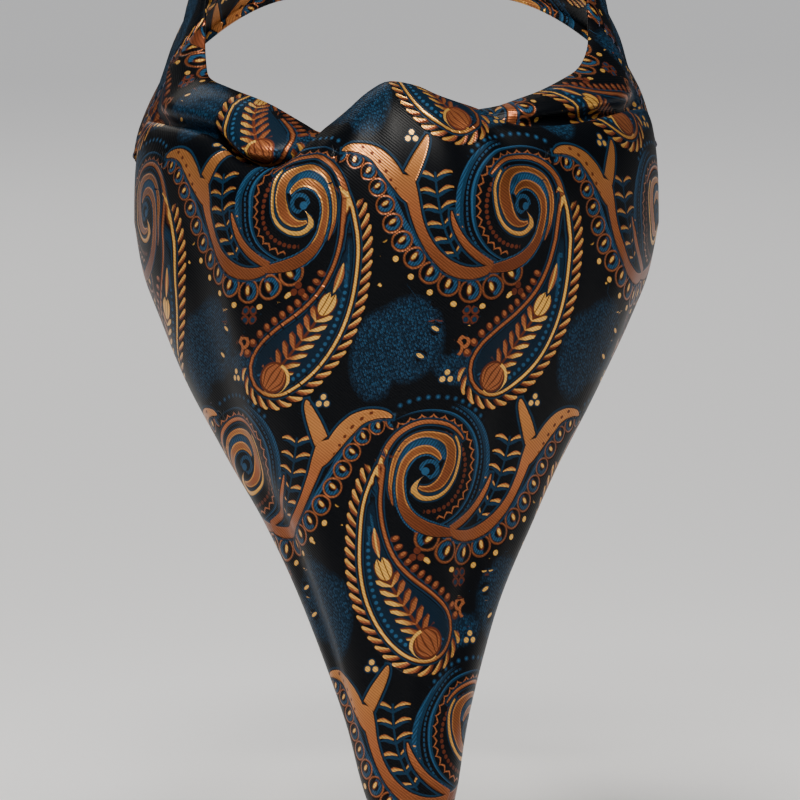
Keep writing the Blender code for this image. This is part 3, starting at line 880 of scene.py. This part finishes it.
class Paint:
    """A material's node tree and the few ways that this file adds to it."""

    def __init__(self, name):
        self.material = bpy.data.materials.new(name)
        self.material.use_nodes = True
        self.tree = self.material.node_tree
        self.tree.nodes.clear()

    def node(self, kind, settings=None, out=0, **inputs):
        """Any node: its settings are set first, and then the values or links of its sockets.

        A socket is called by its name, or by its number, as in i0.
        """
        made = self.tree.nodes.new(kind)
        for key, value in (settings or {}).items():
            setattr(made, key, value)
        for key, value in inputs.items():
            numbered = key[0] == "i" and key[1:].isdigit()
            socket = made.inputs[int(key[1:]) if numbered else key.replace("_", " ")]
            if isinstance(value, Value):
                self.tree.links.new(value.socket, socket)
            else:
                socket.default_value = value
        return made if out is None else Value(self, made.outputs[out])

    def math(self, operation, *values):
        """A Math node on sockets or numbers."""
        inputs = {f"i{k}": v for k, v in enumerate(values)}
        return self.node("ShaderNodeMath", {"operation": operation}, **inputs)

    def mix(self, mask, under, over):
        """One colour laid over another."""
        under, over = ((*c, 1.0) if isinstance(c, tuple) else c for c in (under, over))
        return self.node("ShaderNodeMix", {"data_type": "RGBA"}, out=2, i0=mask, i6=under, i7=over)

    def curve(self, x, at, values):
        """A smooth function of x between 0 and 1 through points."""
        made = self.node("ShaderNodeFloatCurve", out=None, Value=x)
        line, scale = made.mapping.curves[0], float(max(values))
        for place, value in list(zip(at, values))[1:-1]:
            line.points.new(place, value / scale)
        line.points[0].location = (0.0, values[0] / scale)
        line.points[len(line.points) - 1].location = (1.0, values[-1] / scale)
        made.mapping.update()
        return Value(self, made.outputs[0]) * scale

    def surface(self, **inputs):
        """The finished material, with a Principled shader that has these values or links."""
        shader = self.node("ShaderNodeBsdfPrincipled", **inputs)
        self.node("ShaderNodeOutputMaterial", out=None, Surface=shader)
        return self.material

    def split(self, name):
        """The three parts of a measure that the mesh carries."""
        vector = self.node("ShaderNodeAttribute", {"attribute_name": name}, out=1)
        made = self.node("ShaderNodeSeparateXYZ", out=None, i0=vector)
        return [Value(self, s) for s in made.outputs]


def below(x, edge, soft=0.22):
    """1 or more where x is well under edge, 0 or less where it is over, soft between."""
    if isinstance(edge, Value):
        return x.paint.math("MULTIPLY_ADD", edge - x, 1 / soft, 0.5)
    return x.paint.math("MULTIPLY_ADD", x, -1 / soft, 0.5 + edge / soft)


def above(x, edge, soft=0.22):
    """The same the other way up."""
    if isinstance(edge, Value):
        return x.paint.math("MULTIPLY_ADD", x - edge, 1 / soft, 0.5)
    return x.paint.math("MULTIPLY_ADD", x, 1 / soft, 0.5 - edge / soft)


def between(x, low, high, soft=0.22):
    """1 or more where x is well between two edges."""
    return below(abs(x - (low + high) / 2), (high - low) / 2, soft)


def share(x):
    """The value held between 0 and 1, as a sum needs it and a mix doesn't."""
    return x.paint.node("ShaderNodeClamp", Value=x)


def fold(x, pitch):
    """The place within its own repeat, from minus half a pitch to half a pitch."""
    return x.paint.math("WRAP", x, pitch / 2, -pitch / 2)


def length(x, y):
    """The distance from the place where x and y are 0."""
    return x.paint.math("SQRT", x * x + y * y)


def scaled(colour, by, lift=0.0):
    """A lighter or darker tone of a yarn's colour."""
    return tuple(c * by + lift for c in colour)


def cloth_place(p):
    """The map of the cloth, and the place on it across and down in mm."""
    uv = p.node("ShaderNodeUVMap", {"uv_map": "weave"})
    u, v, _ = (Value(p, s) for s in p.node("ShaderNodeSeparateXYZ", out=None, i0=uv).outputs)
    return uv, u, v


def polar(p, x, y):
    """The distance from a place, and the turns about it clockwise from straight up."""
    return length(x, y), p.math("ARCTAN2", x, y) / (2 * math.pi)


def arm(p, points, middle, r, clock):
    """How far outside a bent stroke each place is, by its distance and turns about a place."""
    across, up, half = np.array(points).T
    across, up = across - middle[0], up - middle[1]
    radius = np.hypot(across, up)
    angle = np.unwrap(np.arctan2(across, up))
    half = half * np.hypot(1.0, np.gradient(radius, angle) / radius)
    low, high = angle[0] / (2 * math.pi), angle[-1] / (2 * math.pi)
    start = (low + high - 1) / 2
    t = (p.math("WRAP", clock, start + 1, start) - low) / (high - low)
    at = (angle - angle[0]) / (angle[-1] - angle[0])
    inside = share(t)
    off = abs(r - p.curve(inside, at, radius)) - p.curve(inside, at, half)
    return off | ((abs(t - 0.5) - 0.5) * (2 * math.pi * radius.mean() * abs(high - low)))


def scroll(p):
    """The scroll's own measures: across, up, off the stem, from its middle, off each arm."""
    x, y, reach = p.split("scroll")
    r, clock = polar(p, x, y)
    r = r | (reach - 0.8)
    across, up, far = p.split("fork")
    strokes = []
    for middle, points in STROKES:
        mx, my = middle[0] - STROKES_MIDDLE[0], middle[1] - STROKES_MIDDLE[1]
        strokes.append(arm(p, points, middle, *polar(p, across - mx, up - my)))
    stem = (far - STROKES_REACH) | (strokes[0] & strokes[1] & strokes[2] & strokes[3])
    return (x, y, stem, r, *(arm(p, points, (0.0, 0.0), r, clock) for points in ARMS))


class Silk(Paint):
    """A figured silk: the colours of its yarns, and what has been laid of them so far."""

    def __init__(self, name, silks):
        super().__init__(name)
        self.copper, self.gold, self.blue, self.night, self.rust = (
            tuple(getattr(silks, c)) for c in ("copper", "gold", "blue", "night", "rust")
        )
        self.pale_blue = scaled(self.blue, 2.7, 0.003)
        self.deep_blue = scaled(self.blue, 0.45)
        self.uv, self.u, self.v = cloth_place(self)
        flat = {"noise_dimensions": "2D"}
        # a slow mottle, used as painted light and shade across the cloth
        self.slow = self.node("ShaderNodeTexNoise", flat, Vector=self.uv, Scale=0.045, Detail=2.0)
        fine = self.node("ShaderNodeTexNoise", flat, Vector=self.uv, Scale=1.3, Detail=2.0)
        self.hatch = self.math("SINE", (self.u - self.v * 0.7) * 6.4)
        # how red the copper is, which comes and goes across the cloth: painted shade, darker red
        # where it is strong
        self.painted_red_shade = self.math("SINE", self.u * 0.044) * 0.24 + 0.46
        self.blue_lit = self.mix(0.5 + self.hatch * 0.5, self.blue, self.pale_blue)
        uneven = share(below(fine, 0.5, 0.3)) * 0.5
        self.colour = self.mix(uneven, self.night, scaled(self.night, 0.55))

    def lay(self, mask, yarn):
        """Lays a colour over the others where the mask is 1."""
        self.colour = self.mix(mask, self.colour, yarn)


def lay_dashes(p):
    """Short blue dashes in the places that are strewn with them.

    Gives back the distance to the nearest small device.
    """
    stretched = p.node("ShaderNodeMapping", {"vector_type": "TEXTURE"}, Vector=p.uv,
                       Rotation=(0.0, 0.0, 0.35), Scale=(0.95, 1.6, 1.0))
    cells = p.node("ShaderNodeTexVoronoi", {"voronoi_dimensions": "2D"}, out=None,
                   Vector=stretched, Scale=1.5, Randomness=0.8)
    dash, tone = Value(p, cells.outputs[0]), Value(p, cells.outputs[1])
    to_device, strewn, to_figure = p.split("ground")
    strewn = above(strewn, 0.36, 0.3) & above(to_figure, 1.5, 0.4) & above(to_device, 2.4, 0.5)
    dashes = share(below(dash, 0.40, 0.2) & strewn)
    tone = p.node("ShaderNodeSeparateColor", out=0, Color=tone)
    p.lay(share(strewn) * 0.8, p.deep_blue)
    p.lay(dashes * (0.1 + tone * 0.8), scaled(p.pale_blue, 0.8))
    return to_device


def lay_halo(p, x, y, r, fill):
    """The scroll's halo of blue crescents, dashes and a copper crown of points."""
    turn = p.math("ARCTAN2", y, -x)  # 0 to the scroll's left, growing over its top
    side = abs(turn - 0.05)
    clear = above(fill, 0.5)
    wide = 1.3 - side * side * 0.9
    p.lay(below(abs(r - CRESCENT), wide) & clear, p.blue)
    p.lay(below(abs(r - (CRESCENT + 0.5)), wide * 0.5) & clear, p.blue_lit)
    rise = (turn | 0.0) * HALO_OPENS
    dashed = below(abs(r - rise - DASHES), 0.3) & above(abs(fold(turn, 0.085)), 0.014, 0.02)
    p.lay(share(dashed & below(side, 1.25, 0.1)) * 0.7, p.pale_blue)
    wide = 0.95 - abs(turn - 0.25) * 0.5
    p.lay(below(abs(r - rise - INNER_CRESCENT), wide) & clear, p.blue)
    p.lay(below(abs(r - rise - (INNER_CRESCENT + 0.3)), wide * 0.4) & clear, p.pale_blue)
    point = (abs(fold(turn, 0.2)) * 10.0) ** 0.55
    crown = below(abs(r - rise - CROWN + point * 1.5), 0.3) & below(abs(turn - 0.45), 1.8, 0.05)
    p.lay(crown & clear, p.copper)
    bead = length(fold(turn, 0.14) * 12.2, r - CROWN_BEADS)
    beads = below(bead, 0.66) & below(abs(turn + 0.15), 1.5, 0.06) & clear
    p.lay(beads, p.rust)
    pearl = length(fold(turn + 0.06, 0.125) * 23.0, r - PEARL_RING)
    pearls = below(pearl, 0.8) & between(turn, 0.75, 2.1, 0.1) & clear
    p.lay(pearls, p.blue)
    p.lay(below(pearl, 0.4) & pearls, p.pale_blue)


def lay_frond(p, fill):
    """The palm frond."""
    s, d, off = p.split("frond")
    out = abs(d)
    bent = s - out * 1.0 + out * out * 0.13
    on_frond = below(off, 5.4) & between(bent, -1.2, 27.4) & above(fill, 0.5)
    rib = fold(bent - 1.2, FROND_PITCH)
    leaf = below(abs(rib), 0.62 - abs(out - 3.0) * 0.16) & on_frond & above(out, 0.6)
    shade = below(abs(rib + 1.1), 0.8 - abs(out - 1.9) * 0.24) & on_frond
    spine = below(out, 0.34) & on_frond
    p.lay(shade | spine, p.blue)
    p.lay(leaf, p.copper)
    p.lay(share(leaf & below(rib, 0.1, 0.5)) * 0.62, p.gold)


def lay_scallops(p, fill):
    """The scallops under the stem. Gives back where the stem's own eyelets lie."""
    n, e, near = p.split("scallop")
    pitch = SCALLOP_FIRST + n * SCALLOP_GROWS
    cell = fold(n, 1.0) * pitch
    ball = length(cell, e) / pitch
    row = below(near, 5.9) & between(n, 0.1, SCALLOP_COUNT + 0.4, 0.08)
    row_out = row & above(fill, 0.35)
    p.lay(between(e / pitch, 0.36, 0.62, 0.05) & row_out, p.blue_lit)
    p.lay(below(ball, 0.47, 0.05) & row_out, scaled(p.night, 0.5))
    p.lay(between(ball, 0.2, 0.37, 0.05) & row_out & above(cell + e * 0.3, -0.9), p.blue_lit)
    leaf = length(cell + 0.06 * pitch, e * 0.55 + cell * 0.25) / pitch
    p.lay(below(leaf, 0.13, 0.05) & row_out, p.rust)
    p.lay(below(leaf, 0.085, 0.04) & row_out, p.gold)
    ring = below(abs(ball - SCALLOP_RING), 0.04, 0.05) & row_out
    # painted shade: the ring darkens to rust where the painted red shade is strong
    p.lay(ring, p.mix(p.painted_red_shade * 0.7, p.copper, p.rust))
    dot = length(fold(n + 0.5, 1.0) * pitch, e + pitch * 0.66)
    p.lay(below(dot, 0.85) & row & above(n, 5.6, 0.1), p.gold)
    eyelet = below(length(fold(n * 2.0, 1.0) * pitch * 0.5, e - 4.7), 0.5)
    return eyelet & row & below(n, 5.4, 0.1)


def lay_scroll(p, x, y, r, arms, stem, outer_arm, inner_arm, hook, over):
    """The scroll: copper arms on blue, round a curled blue eye."""
    between_arms = below(outer_arm + inner_arm, 2.9, 0.4) & below(abs(outer_arm - inner_arm), 2.6)
    between_arms = between_arms & above(y - x * 0.55, -2.0) & below(r, 13.0)
    p.lay(between_arms, p.blue_lit)
    p.lay(between(outer_arm, 0.25, 0.8) & below(r, 19.0), p.blue_lit)
    p.lay(between(hook, 0.2, 0.6) & below(r, 14.5), p.blue)
    p.lay(between(inner_arm, 0.25, 0.65) & below(r, 14.5), p.blue)
    p.lay(between(stem, 0.4, 1.05) & above(r, 6.0), p.blue)
    curl = abs(length(x - 0.2, y - 0.8) - 2.5)
    open_side = above(x * 0.9 - y, 2.1, 0.5) & below(y, 1.2)
    eye = below(curl, 0.6) & above(-open_side, -0.5, 0.5)
    p.lay(eye & above(arms & hook, 0.2), p.blue_lit)
    p.lay(below(length(x - 1.3, y - 0.2), 1.2) & below(r, 4.0), p.pale_blue)
    twilled = p.mix(0.5 + p.hatch * 0.22, p.copper, scaled(p.copper, 1.25))
    # painted light and shade: the copper is lit towards gold high in each unit and shaded towards
    # rust low in it
    twilled = p.mix(share(above(y, 6.0, 14.0)) * 0.18, twilled, p.gold)
    twilled = p.mix(share(below(y, -9.0, 14.0)) * 0.5, twilled, p.rust)
    p.lay(below(arms & stem, 0.0), twilled)
    # painted shade: the arms turn rust, and their edges and hook turn from gold to copper, where
    # the painted red shade is strong
    p.lay(p.painted_red_shade & below(arms, -0.3), p.rust)
    edge = between(arms, -0.42, -0.02) & below(r, 12.5)
    p.lay(edge, p.mix(0.4 + p.painted_red_shade * 0.6, p.gold, p.copper))
    p.lay(between(over, 0.3, 0.75) & below(r, 18.0), p.blue)
    p.lay(below(hook, 0.0), p.mix(p.painted_red_shade * 0.7, p.gold, p.copper))
    p.lay(below(over, 0.0), p.copper)


def lay_teardrop(p):
    """The teardrop: a line between two blue ones, with a fringe of leaves and berries.

    Gives back its measures and the beads that lie inside it.
    """
    s, d, off = p.split("teardrop")
    on_line = below(off, 1.9) & above(s, 1.0)
    lit = p.mix(between(s, -8.0, 74.0, 16.0), p.copper, p.gold)
    p.lay(below(abs(abs(d) - 1.15), 0.22) & on_line, p.blue)
    p.lay(below(abs(d), 0.62) & on_line, p.rust)
    p.lay(below(abs(d), 0.42) & on_line, lit)
    tick = fold(s + (d - 1.0) * LEAF_LEAN, LEAF_PITCH)
    reach = below(off, 5.2) & above(d, 1.5) & between(s, *FRINGE, 0.8)
    reach = reach & below(d + tick * tick * 0.5, 4.6)
    body = d * 0.34 - 0.1
    p.lay(below(abs(tick - 0.45), body) & reach, p.rust)
    leaf = below(abs(tick + 0.1), body * 0.9) & reach
    p.lay(leaf, p.copper)
    leaf = leaf & below(abs(tick + 0.42), body * 0.52)
    # painted shade: the leaves' gold is dimmed where the painted red shade is strong
    p.lay(share(leaf) * (0.95 - p.painted_red_shade * 0.5), p.gold)
    berry = length(fold(s, BERRY_PITCH), (d - 2.6) * 0.72)
    berries = below(berry, 1.05) & between(s, *BERRIES, 0.8) & below(off, 4.4)
    p.lay(berries, p.rust)
    berry = length(fold(s - 0.2, BERRY_PITCH), (d - 2.9) * 0.7)
    p.lay(below(berry, 0.62) & berries, p.copper)
    bead = length(fold(s, BEAD_PITCH), d + 2.8)
    beads = below(bead, 0.62) & below(off, 4.4) & between(s, *BEADS, 0.8)
    return s, d, off, beads


def lay_spray(p, s, d, off, beads):
    """The spray inside the bulb, on its own field, with the teardrop's beads over that."""
    inner = below(d, -1.7) & below(off, 7.6) & between(s, 14.0, 142.0, 4.0)
    not_out = above(off, 7.6) | below(d, -1.7)
    s, d, off = p.split("spray")
    out = abs(d)
    field = (inner | below(off, 8.0)) & not_out & between(s, -9.0, 48.0, 2.0)
    p.lay(field, p.deep_blue)
    p.lay(beads, p.pale_blue)
    rib = fold(s - out * 0.8 + d * 0.12, SPRAY_PITCH)
    on_spray = below(off, 5.2 - s * 0.06) & between(s, 3.6, 24.6, 0.6)
    body = 1.42 - abs(out - 2.5) * 0.44
    lit = p.mix(above(d - s * 0.25, -4.5, 3.0), p.gold, p.copper)
    p.lay((below(out, 0.45) | below(abs(rib - 0.25), body)) & on_spray, p.rust)
    p.lay(below(abs(rib + 0.12), body * 0.72) & on_spray, lit)
    bud = length(s + 0.4, d)
    on_bud = below(off, 5.8)
    p.lay(below(bud, 5.0) & on_bud, p.rust)
    petals = below(abs(fold(d * (0.9 + s * s * 0.05), 2.1)), 0.8) & below(bud, 4.3)
    p.lay(petals & on_bud, p.copper)
    p.lay(below(abs(length(s + 0.9, d + 0.9) - 5.0), 0.5) & on_bud & below(d, 0.0), p.gold)
    bloom = length(d * 1.3, (s - 27.0) * 0.85)
    tulip = below(bloom, 3.2) & below(s - abs(fold(d, 2.0)) * 2.0, 29.0) & below(off, 4.4)
    p.lay(below(bloom, 3.7) & below(off, 4.4) & below(s, 29.6), p.rust)
    p.lay(tulip, p.gold)
    p.lay(below(abs(out - 0.85), 0.18) & tulip, p.rust)
    tip = below(out, 1.15 - (s - 35.4) * (s - 35.4) * 0.05) & below(off, 3.0)
    p.lay(tip, p.copper)
    p.lay(below(out, 0.3) & tip, p.gold)


def lay_devices(p, to_device):
    """The small devices between the units."""
    x, y, kind = p.split("device")

    def is_kind(number):
        return below(abs(kind - float(number)), 0.3, 0.2)

    held = below(to_device, DEVICE_REACH)
    is_drop = is_kind(DROP) | is_kind(LOW_DROP)
    seed = below(to_device, 1.0) & is_kind(SEED)
    trio = length(x, y - 1.3) & length(abs(x) - 1.25, y + 0.8)
    p.lay(below(trio, 1.3) & is_kind(SEEDS) & held, p.blue)
    seeds = below(trio, 0.85) & is_kind(SEEDS) & held
    pearls = below(trio, 1.1) & is_kind(PEARLS) & held
    lobe = length(abs(x) - 1.5, abs(y) - 1.5)
    p.lay(below(abs(lobe - 1.2), 0.35) & is_kind(BLOSSOM) & held, p.rust)
    p.lay(below(lobe, 0.8) & is_kind(BLOSSOM) & held, p.blue)
    slant = length(x * 0.5 - y * 0.42, (y * 0.85 + x * 0.5) * 1.5)
    p.lay(below(slant, 1.4) & is_drop & held, p.blue)
    drop = below(slant, 0.8) & is_drop & held
    curl = below(abs(length(x - 0.4, y - 1.2) - 1.6), 0.6) & above(y + x * 0.8, -0.4) | (
        below(abs(length(x + 2.6, y + 0.8) - 2.6), 0.5) & above(x, -2.0) & below(y, 1.4)
    )
    p.lay(pearls, p.rust)
    p.lay(curl & is_kind(SPROUT) & held, p.copper)
    p.lay(seed | seeds | drop, p.gold)


def figured_silk(name, silks):
    """Satin-faced silk with the paisley figure woven in copper, gold and blue."""
    p = Silk(name, silks)
    to_device = lay_dashes(p)
    x, y, stem, r, outer_arm, inner_arm, hook, over = scroll(p)
    arms = outer_arm & inner_arm
    fill = arms & hook & stem & over  # how far off the nearest stroke is
    lay_halo(p, x, y, r, fill)
    lay_frond(p, fill)
    eyelets = lay_scallops(p, fill)
    lay_scroll(p, x, y, r, arms, stem, outer_arm, inner_arm, hook, over)
    p.lay(eyelets & below(stem, -0.2), p.rust)
    lay_spray(p, *lay_teardrop(p))
    lay_devices(p, to_device)

    # the weave: a diagonal twill in the figure and satin in the ground
    figure = p.node("ShaderNodeSeparateColor", out=0, Color=p.colour)
    raised = share(above(figure, 0.10, 0.12))
    twill = p.math("SINE", (p.u * 0.8 + p.v) * TWILL)
    # the twill lightens and darkens the raised yarns, and the slow mottle adds painted light and
    # shade across the cloth
    twill_and_shade_mottle = 0.66 + twill * 0.18 * raised + p.slow * 0.36
    tinted = p.node("ShaderNodeVectorMath", {"operation": "SCALE"}, i0=p.colour, Scale=twill_and_shade_mottle)
    return p.surface(Base_Color=tinted, Roughness=0.42 - raised * 0.06, Metallic=raised * 0.7,
                     Specular_IOR_Level=0.08, Normal=relief(p))


def relief(p):
    """How the woven figure stands up from its ground, from the few measures that matter."""
    _, u, v = cloth_place(p)
    _, _, stem, _, outer_arm, inner_arm, hook, over = scroll(p)
    s, d, off = p.split("teardrop")
    tick = fold(s + (d - 1.0) * LEAF_LEAN, LEAF_PITCH)
    leaf = below(abs(tick), d * 0.34 - 0.1, 0.7) & below(off, 4.6) & above(d, 1.3)
    leaf = leaf & between(s, *FRINGE)
    solid = below(outer_arm & inner_arm & hook & stem & over, 0.0, 0.7)
    n, e, near = p.split("scallop")
    pitch = SCALLOP_FIRST + n * SCALLOP_GROWS
    ball = length(fold(n, 1.0) * pitch, e) / pitch
    ring = below(abs(ball - SCALLOP_RING), 0.05, 0.1) & below(near, 4.5)
    line = below(abs(d), 0.5, 0.6) & below(off, 1.5)
    twill = p.math("SINE", (u * 0.8 + v) * TWILL)
    height = share(solid | leaf | line | ring) * 0.3 + twill * 0.03
    return p.node("ShaderNodeBump", Strength=0.6, Distance=0.001, Height=height)


def sewing_thread(name, silks):
    """Twisted silk thread, a little paler where the twist stands up as a painted highlight, and
    darker in its grooves as painted shade.
    """
    p = Paint(name)
    place = p.node("ShaderNodeTexCoord", out=3)
    ply = p.node("ShaderNodeTexWave", {"bands_direction": "DIAGONAL"}, out=1, Vector=place,
                 Scale=900.0, Distortion=1.5)
    blue, copper = tuple(silks.blue), tuple(silks.copper)
    # painted shade in the grooves of the twist and a paler painted highlight on its raised plies
    colour = p.mix(ply, scaled(blue, 0.6), tuple(b + c * 0.12 for b, c in zip(blue, copper)))
    bump = p.node("ShaderNodeBump", Strength=0.5, Distance=0.0001, Height=ply)
    return p.surface(Base_Color=colour, Normal=bump, Roughness=0.5, Specular_IOR_Level=0.2)


# ---------------------------------------------------------------- the add-on's settings

class CravatCloth(bpy.types.PropertyGroup):
    """Sizes of the cloth."""

    wall: FloatProperty(
        name="Cloth", description="Thickness of the doubled silk", default=0.0011, min=0.0004,
        max=0.003, unit="LENGTH",
    )


def yarn(name, description, colour):
    """A property that holds the colour of one yarn."""
    return FloatVectorProperty(
        name=name, description=description, subtype="COLOR", default=colour, min=0, max=1
    )


class CravatSilks(bpy.types.PropertyGroup):
    """Colours of the yarns."""

    copper: yarn("Copper", "The main yarn of the figure", (0.30, 0.098, 0.036))
    gold: yarn("Gold", "The yarn of its lights", (0.74, 0.40, 0.085))
    blue: yarn("Blue", "The blue yarn", (0.0036, 0.018, 0.039))
    night: yarn("Night", "The satin ground", (0.0010, 0.0015, 0.0026))
    rust: yarn("Rust", "The dark red-brown yarn", (0.085, 0.020, 0.009))


class CravatStage(bpy.types.PropertyGroup):
    """The stage that the cravat is shown on."""

    floor_drop: FloatProperty(
        name="Floor", description="How far the floor is under the tip", default=0.02,
        unit="LENGTH",
    )
    distance: FloatProperty(
        name="Camera distance", description="From the middle of the view", default=3.0,
        unit="LENGTH",
    )
    view_width: FloatProperty(
        name="View width", description="What the camera takes in", default=0.248, unit="LENGTH",
    )
    elevation: FloatProperty(
        name="Elevation", description="The camera's angle above the level",
        default=math.radians(7.0), subtype="ANGLE",
    )


def hang(context, node, points, lie, flip=False):
    """Makes one piece of cloth, which stands for its solid and takes the same place.

    The flat size that it was cut to is measured along it.
    """
    wall = context.scene.cravat_cloth.wall / MM
    thing = cloth_shell(f"{node}_cloth", points, *lie, wall, flip)
    thing.data.materials.append(figured_silk(f"{node}_silk", context.scene.cravat_silks))
    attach(thing, "root")
    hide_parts(node)
    step_d = np.linalg.norm(np.diff(points, axis=1), axis=2)[:-1]
    step_a = np.linalg.norm(np.diff(points, axis=0), axis=2)[:, :-1]
    area = float((step_d * step_a).sum()) * MM * MM
    width = float(run_across(points)[-1].max()) * MM
    length = float(run_down(points)[:, -1].max()) * MM
    area = min(max(area, LEAST_FILL * width * length), width * length)


class CRAVAT_OT_front_blade(bpy.types.Operator):
    """Make the broad front blade, turned over at the throat and spread"""

    bl_idname = "cravat.front_blade"
    bl_label = "Front Blade"

    def execute(self, context):
        points = front_grid()
        down = run_down(points)
        first = TUCK_ROWS + ROLL_ROWS + TOP_ROWS
        top = -(down - down[:, first:first + 1]) + HANG_START
        middle = len(points) // 2
        down = np.where(np.arange(points.shape[1])[None, :] < first, top, top[middle][None, :])
        across = run_across(points)
        across = across - across[middle:middle + 1]
        across[:, :first] = across[:, first:first + 1]
        points = creased(points, across, down, FRONT_CREASES)
        sagged = down + SAG * (across / 100.0) ** 2
        hang(context, "front_blade", points, (across, sagged))
        return {"FINISHED"}


class CRAVAT_OT_wraps(bpy.types.Operator):
    """Make the two blades as they run from the band to the crossing"""

    bl_idname = "cravat.wraps"
    bl_label = "Crossing Blades"

    def execute(self, context):
        for side, name in ((-1, "left"), (1, "right")):
            points = wrap_grid(side)
            angle = np.linspace(SEAM_ANGLE, -CROSS_ANGLE, len(points))[:, None] * side
            across = ROUND * np.radians(angle) + np.zeros(points.shape[:2])
            down = run_down(points)
            low = RING_T.at("lower_height", angle)
            down = -(down - down[:, -1:]) + HANG_START - BLEND_HEIGHT + low
            if side < 0:
                lie = across + LEFT_SHIFT[0], down + LEFT_SHIFT[1]
            else:
                lie = turned(across, down, *RIGHT_TURN)
            points = creased(points, across, down, WRAP_CREASES)
            hang(context, f"{name}_wrap", points, lie, side > 0)
        return {"FINISHED"}


class CRAVAT_OT_under_blade(bpy.types.Operator):
    """Make the under blade inside the front one"""

    bl_idname = "cravat.under_blade"
    bl_label = "Under Blade"

    def execute(self, context):
        points = under_grid()
        down = run_down(points)
        middle = len(points) // 2
        down = UNDER_TOP - down[middle][None, :] + np.zeros(down.shape)
        across = run_across(points)
        across = across - across[middle:middle + 1]
        points = creased(points, across, down, UNDER_CREASES)
        lie = across + UNDER_SHIFT, down
        hang(context, "under_blade", points, lie)
        return {"FINISHED"}


class CRAVAT_OT_neckband(bpy.types.Operator):
    """Make the pleated band round the neck"""

    bl_idname = "cravat.neckband"
    bl_label = "Pleated Band"

    def execute(self, context):
        points = band_grid()
        across = run_across(points)
        middle = points.shape[1] // 2
        across = across[:, middle:middle + 1] + np.zeros(points.shape[:2])
        lie = across + BAND_SHIFT, -run_down(points)
        hang(context, "neckband", points, lie)
        return {"FINISHED"}


class CRAVAT_OT_stitches(bpy.types.Operator):
    """Sew the pleated band to the crossing blades with small stitches"""

    bl_idname = "cravat.stitches"
    bl_label = "Seam Stitches"

    def execute(self, context):
        thing = threads("seam_stitches", stitch_paths(), THREAD)
        thing.data.materials.append(sewing_thread("stitch_thread", context.scene.cravat_silks))
        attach(thing, "root")
        return {"FINISHED"}


class CRAVAT_OT_stage(bpy.types.Operator):
    """Make the floor, the lights and the camera"""

    bl_idname = "cravat.stage"
    bl_label = "Stage"

    def execute(self, context):
        stage = context.scene.cravat_stage
        bpy.ops.mesh.primitive_circle_add(
            vertices=96, radius=FLOOR_RADIUS, fill_type="NGON",
            location=(0, 0, CAD_BOX[0].z - stage.floor_drop),
        )
        floor = context.object
        floor.name = "floor"
        pale = Paint("pale_floor").surface(Base_Color=(0.90, 0.90, 0.91, 1.0), Roughness=0.9)
        floor.data.materials.append(pale)
        for name, place, size, power in LIGHTS:
            light = bpy.data.lights.new(name, "AREA")
            light.size, light.energy, light.color = size, power, LAMP_COLOUR
            lamp = placed(name, light)
            lamp.location = place
            aim = Vector(LIGHT_AIM) - lamp.location
            lamp.rotation_euler = aim.to_track_quat("-Z", "Y").to_euler()
        sky = bpy.data.lights.new("sky_light", "SUN")
        sky.energy, sky.angle = SKY_POWER, math.radians(SKY_SPREAD)
        placed("sky_light", sky).rotation_euler = [math.radians(a) for a in SKY_TURN]
        world = bpy.data.worlds.new("studio")
        world.use_nodes = True
        colour, strength = world.node_tree.nodes["Background"].inputs[:2]
        colour.default_value, strength.default_value = ROOM_COLOUR, ROOM_LIGHT
        context.scene.world = world
        camera = bpy.data.cameras.new("camera")
        camera.sensor_width = 36.0
        camera.lens = camera.sensor_width * stage.distance / stage.view_width
        camera.clip_end = 60.0
        eye = placed("camera", camera)
        rise, turn = math.sin(stage.elevation), math.cos(stage.elevation)
        back = Vector((0.0, -turn, rise))
        middle = Vector((VIEW_X, -VIEW_DEPTH, (VIEW_HEIGHT + VIEW_DEPTH * rise) / turn))
        eye.location = middle + back * stage.distance
        eye.rotation_euler = (-back).to_track_quat("-Z", "Y").to_euler()
        context.scene.camera = eye
        return {"FINISHED"}


class CRAVAT_PT_panel(bpy.types.Panel):
    """Lists the cravat's settings and the pieces that it is made of"""

    bl_idname = "CRAVAT_PT_panel"
    bl_label = "Cravat"
    bl_space_type = "VIEW_3D"
    bl_region_type = "UI"
    bl_category = "Cravat"

    def draw(self, context):
        layout = self.layout
        for group in (context.scene.cravat_cloth, context.scene.cravat_silks,
                      context.scene.cravat_stage):
            for name in group.__annotations__:
                layout.prop(group, name)
        for step in STEPS:
            layout.operator(step.bl_idname)


GROUPS = (
    ("cravat_cloth", CravatCloth), ("cravat_silks", CravatSilks), ("cravat_stage", CravatStage),
)
STEPS = (
    CRAVAT_OT_stage, CRAVAT_OT_front_blade, CRAVAT_OT_wraps, CRAVAT_OT_under_blade,
    CRAVAT_OT_neckband, CRAVAT_OT_stitches,
)


def register():
    """Adds the settings, the operators and the panel."""
    for name, group in GROUPS:
        bpy.utils.register_class(group)
        setattr(bpy.types.Scene, name, PointerProperty(type=group))
    for cls in (*STEPS, CRAVAT_PT_panel):
        bpy.utils.register_class(cls)


def unregister():
    """Takes them out again."""
    for cls in (CRAVAT_PT_panel, *reversed(STEPS)):
        bpy.utils.unregister_class(cls)
    for name, group in reversed(GROUPS):
        delattr(bpy.types.Scene, name)
        bpy.utils.unregister_class(group)


def main():
    """Makes the stage and every piece."""
    register()
    bpy.ops.cravat.stage()
    bpy.ops.cravat.front_blade()
    bpy.ops.cravat.wraps()
    bpy.ops.cravat.under_blade()
    bpy.ops.cravat.neckband()
    bpy.ops.cravat.stitches()


if __name__ == "__main__":
    main()
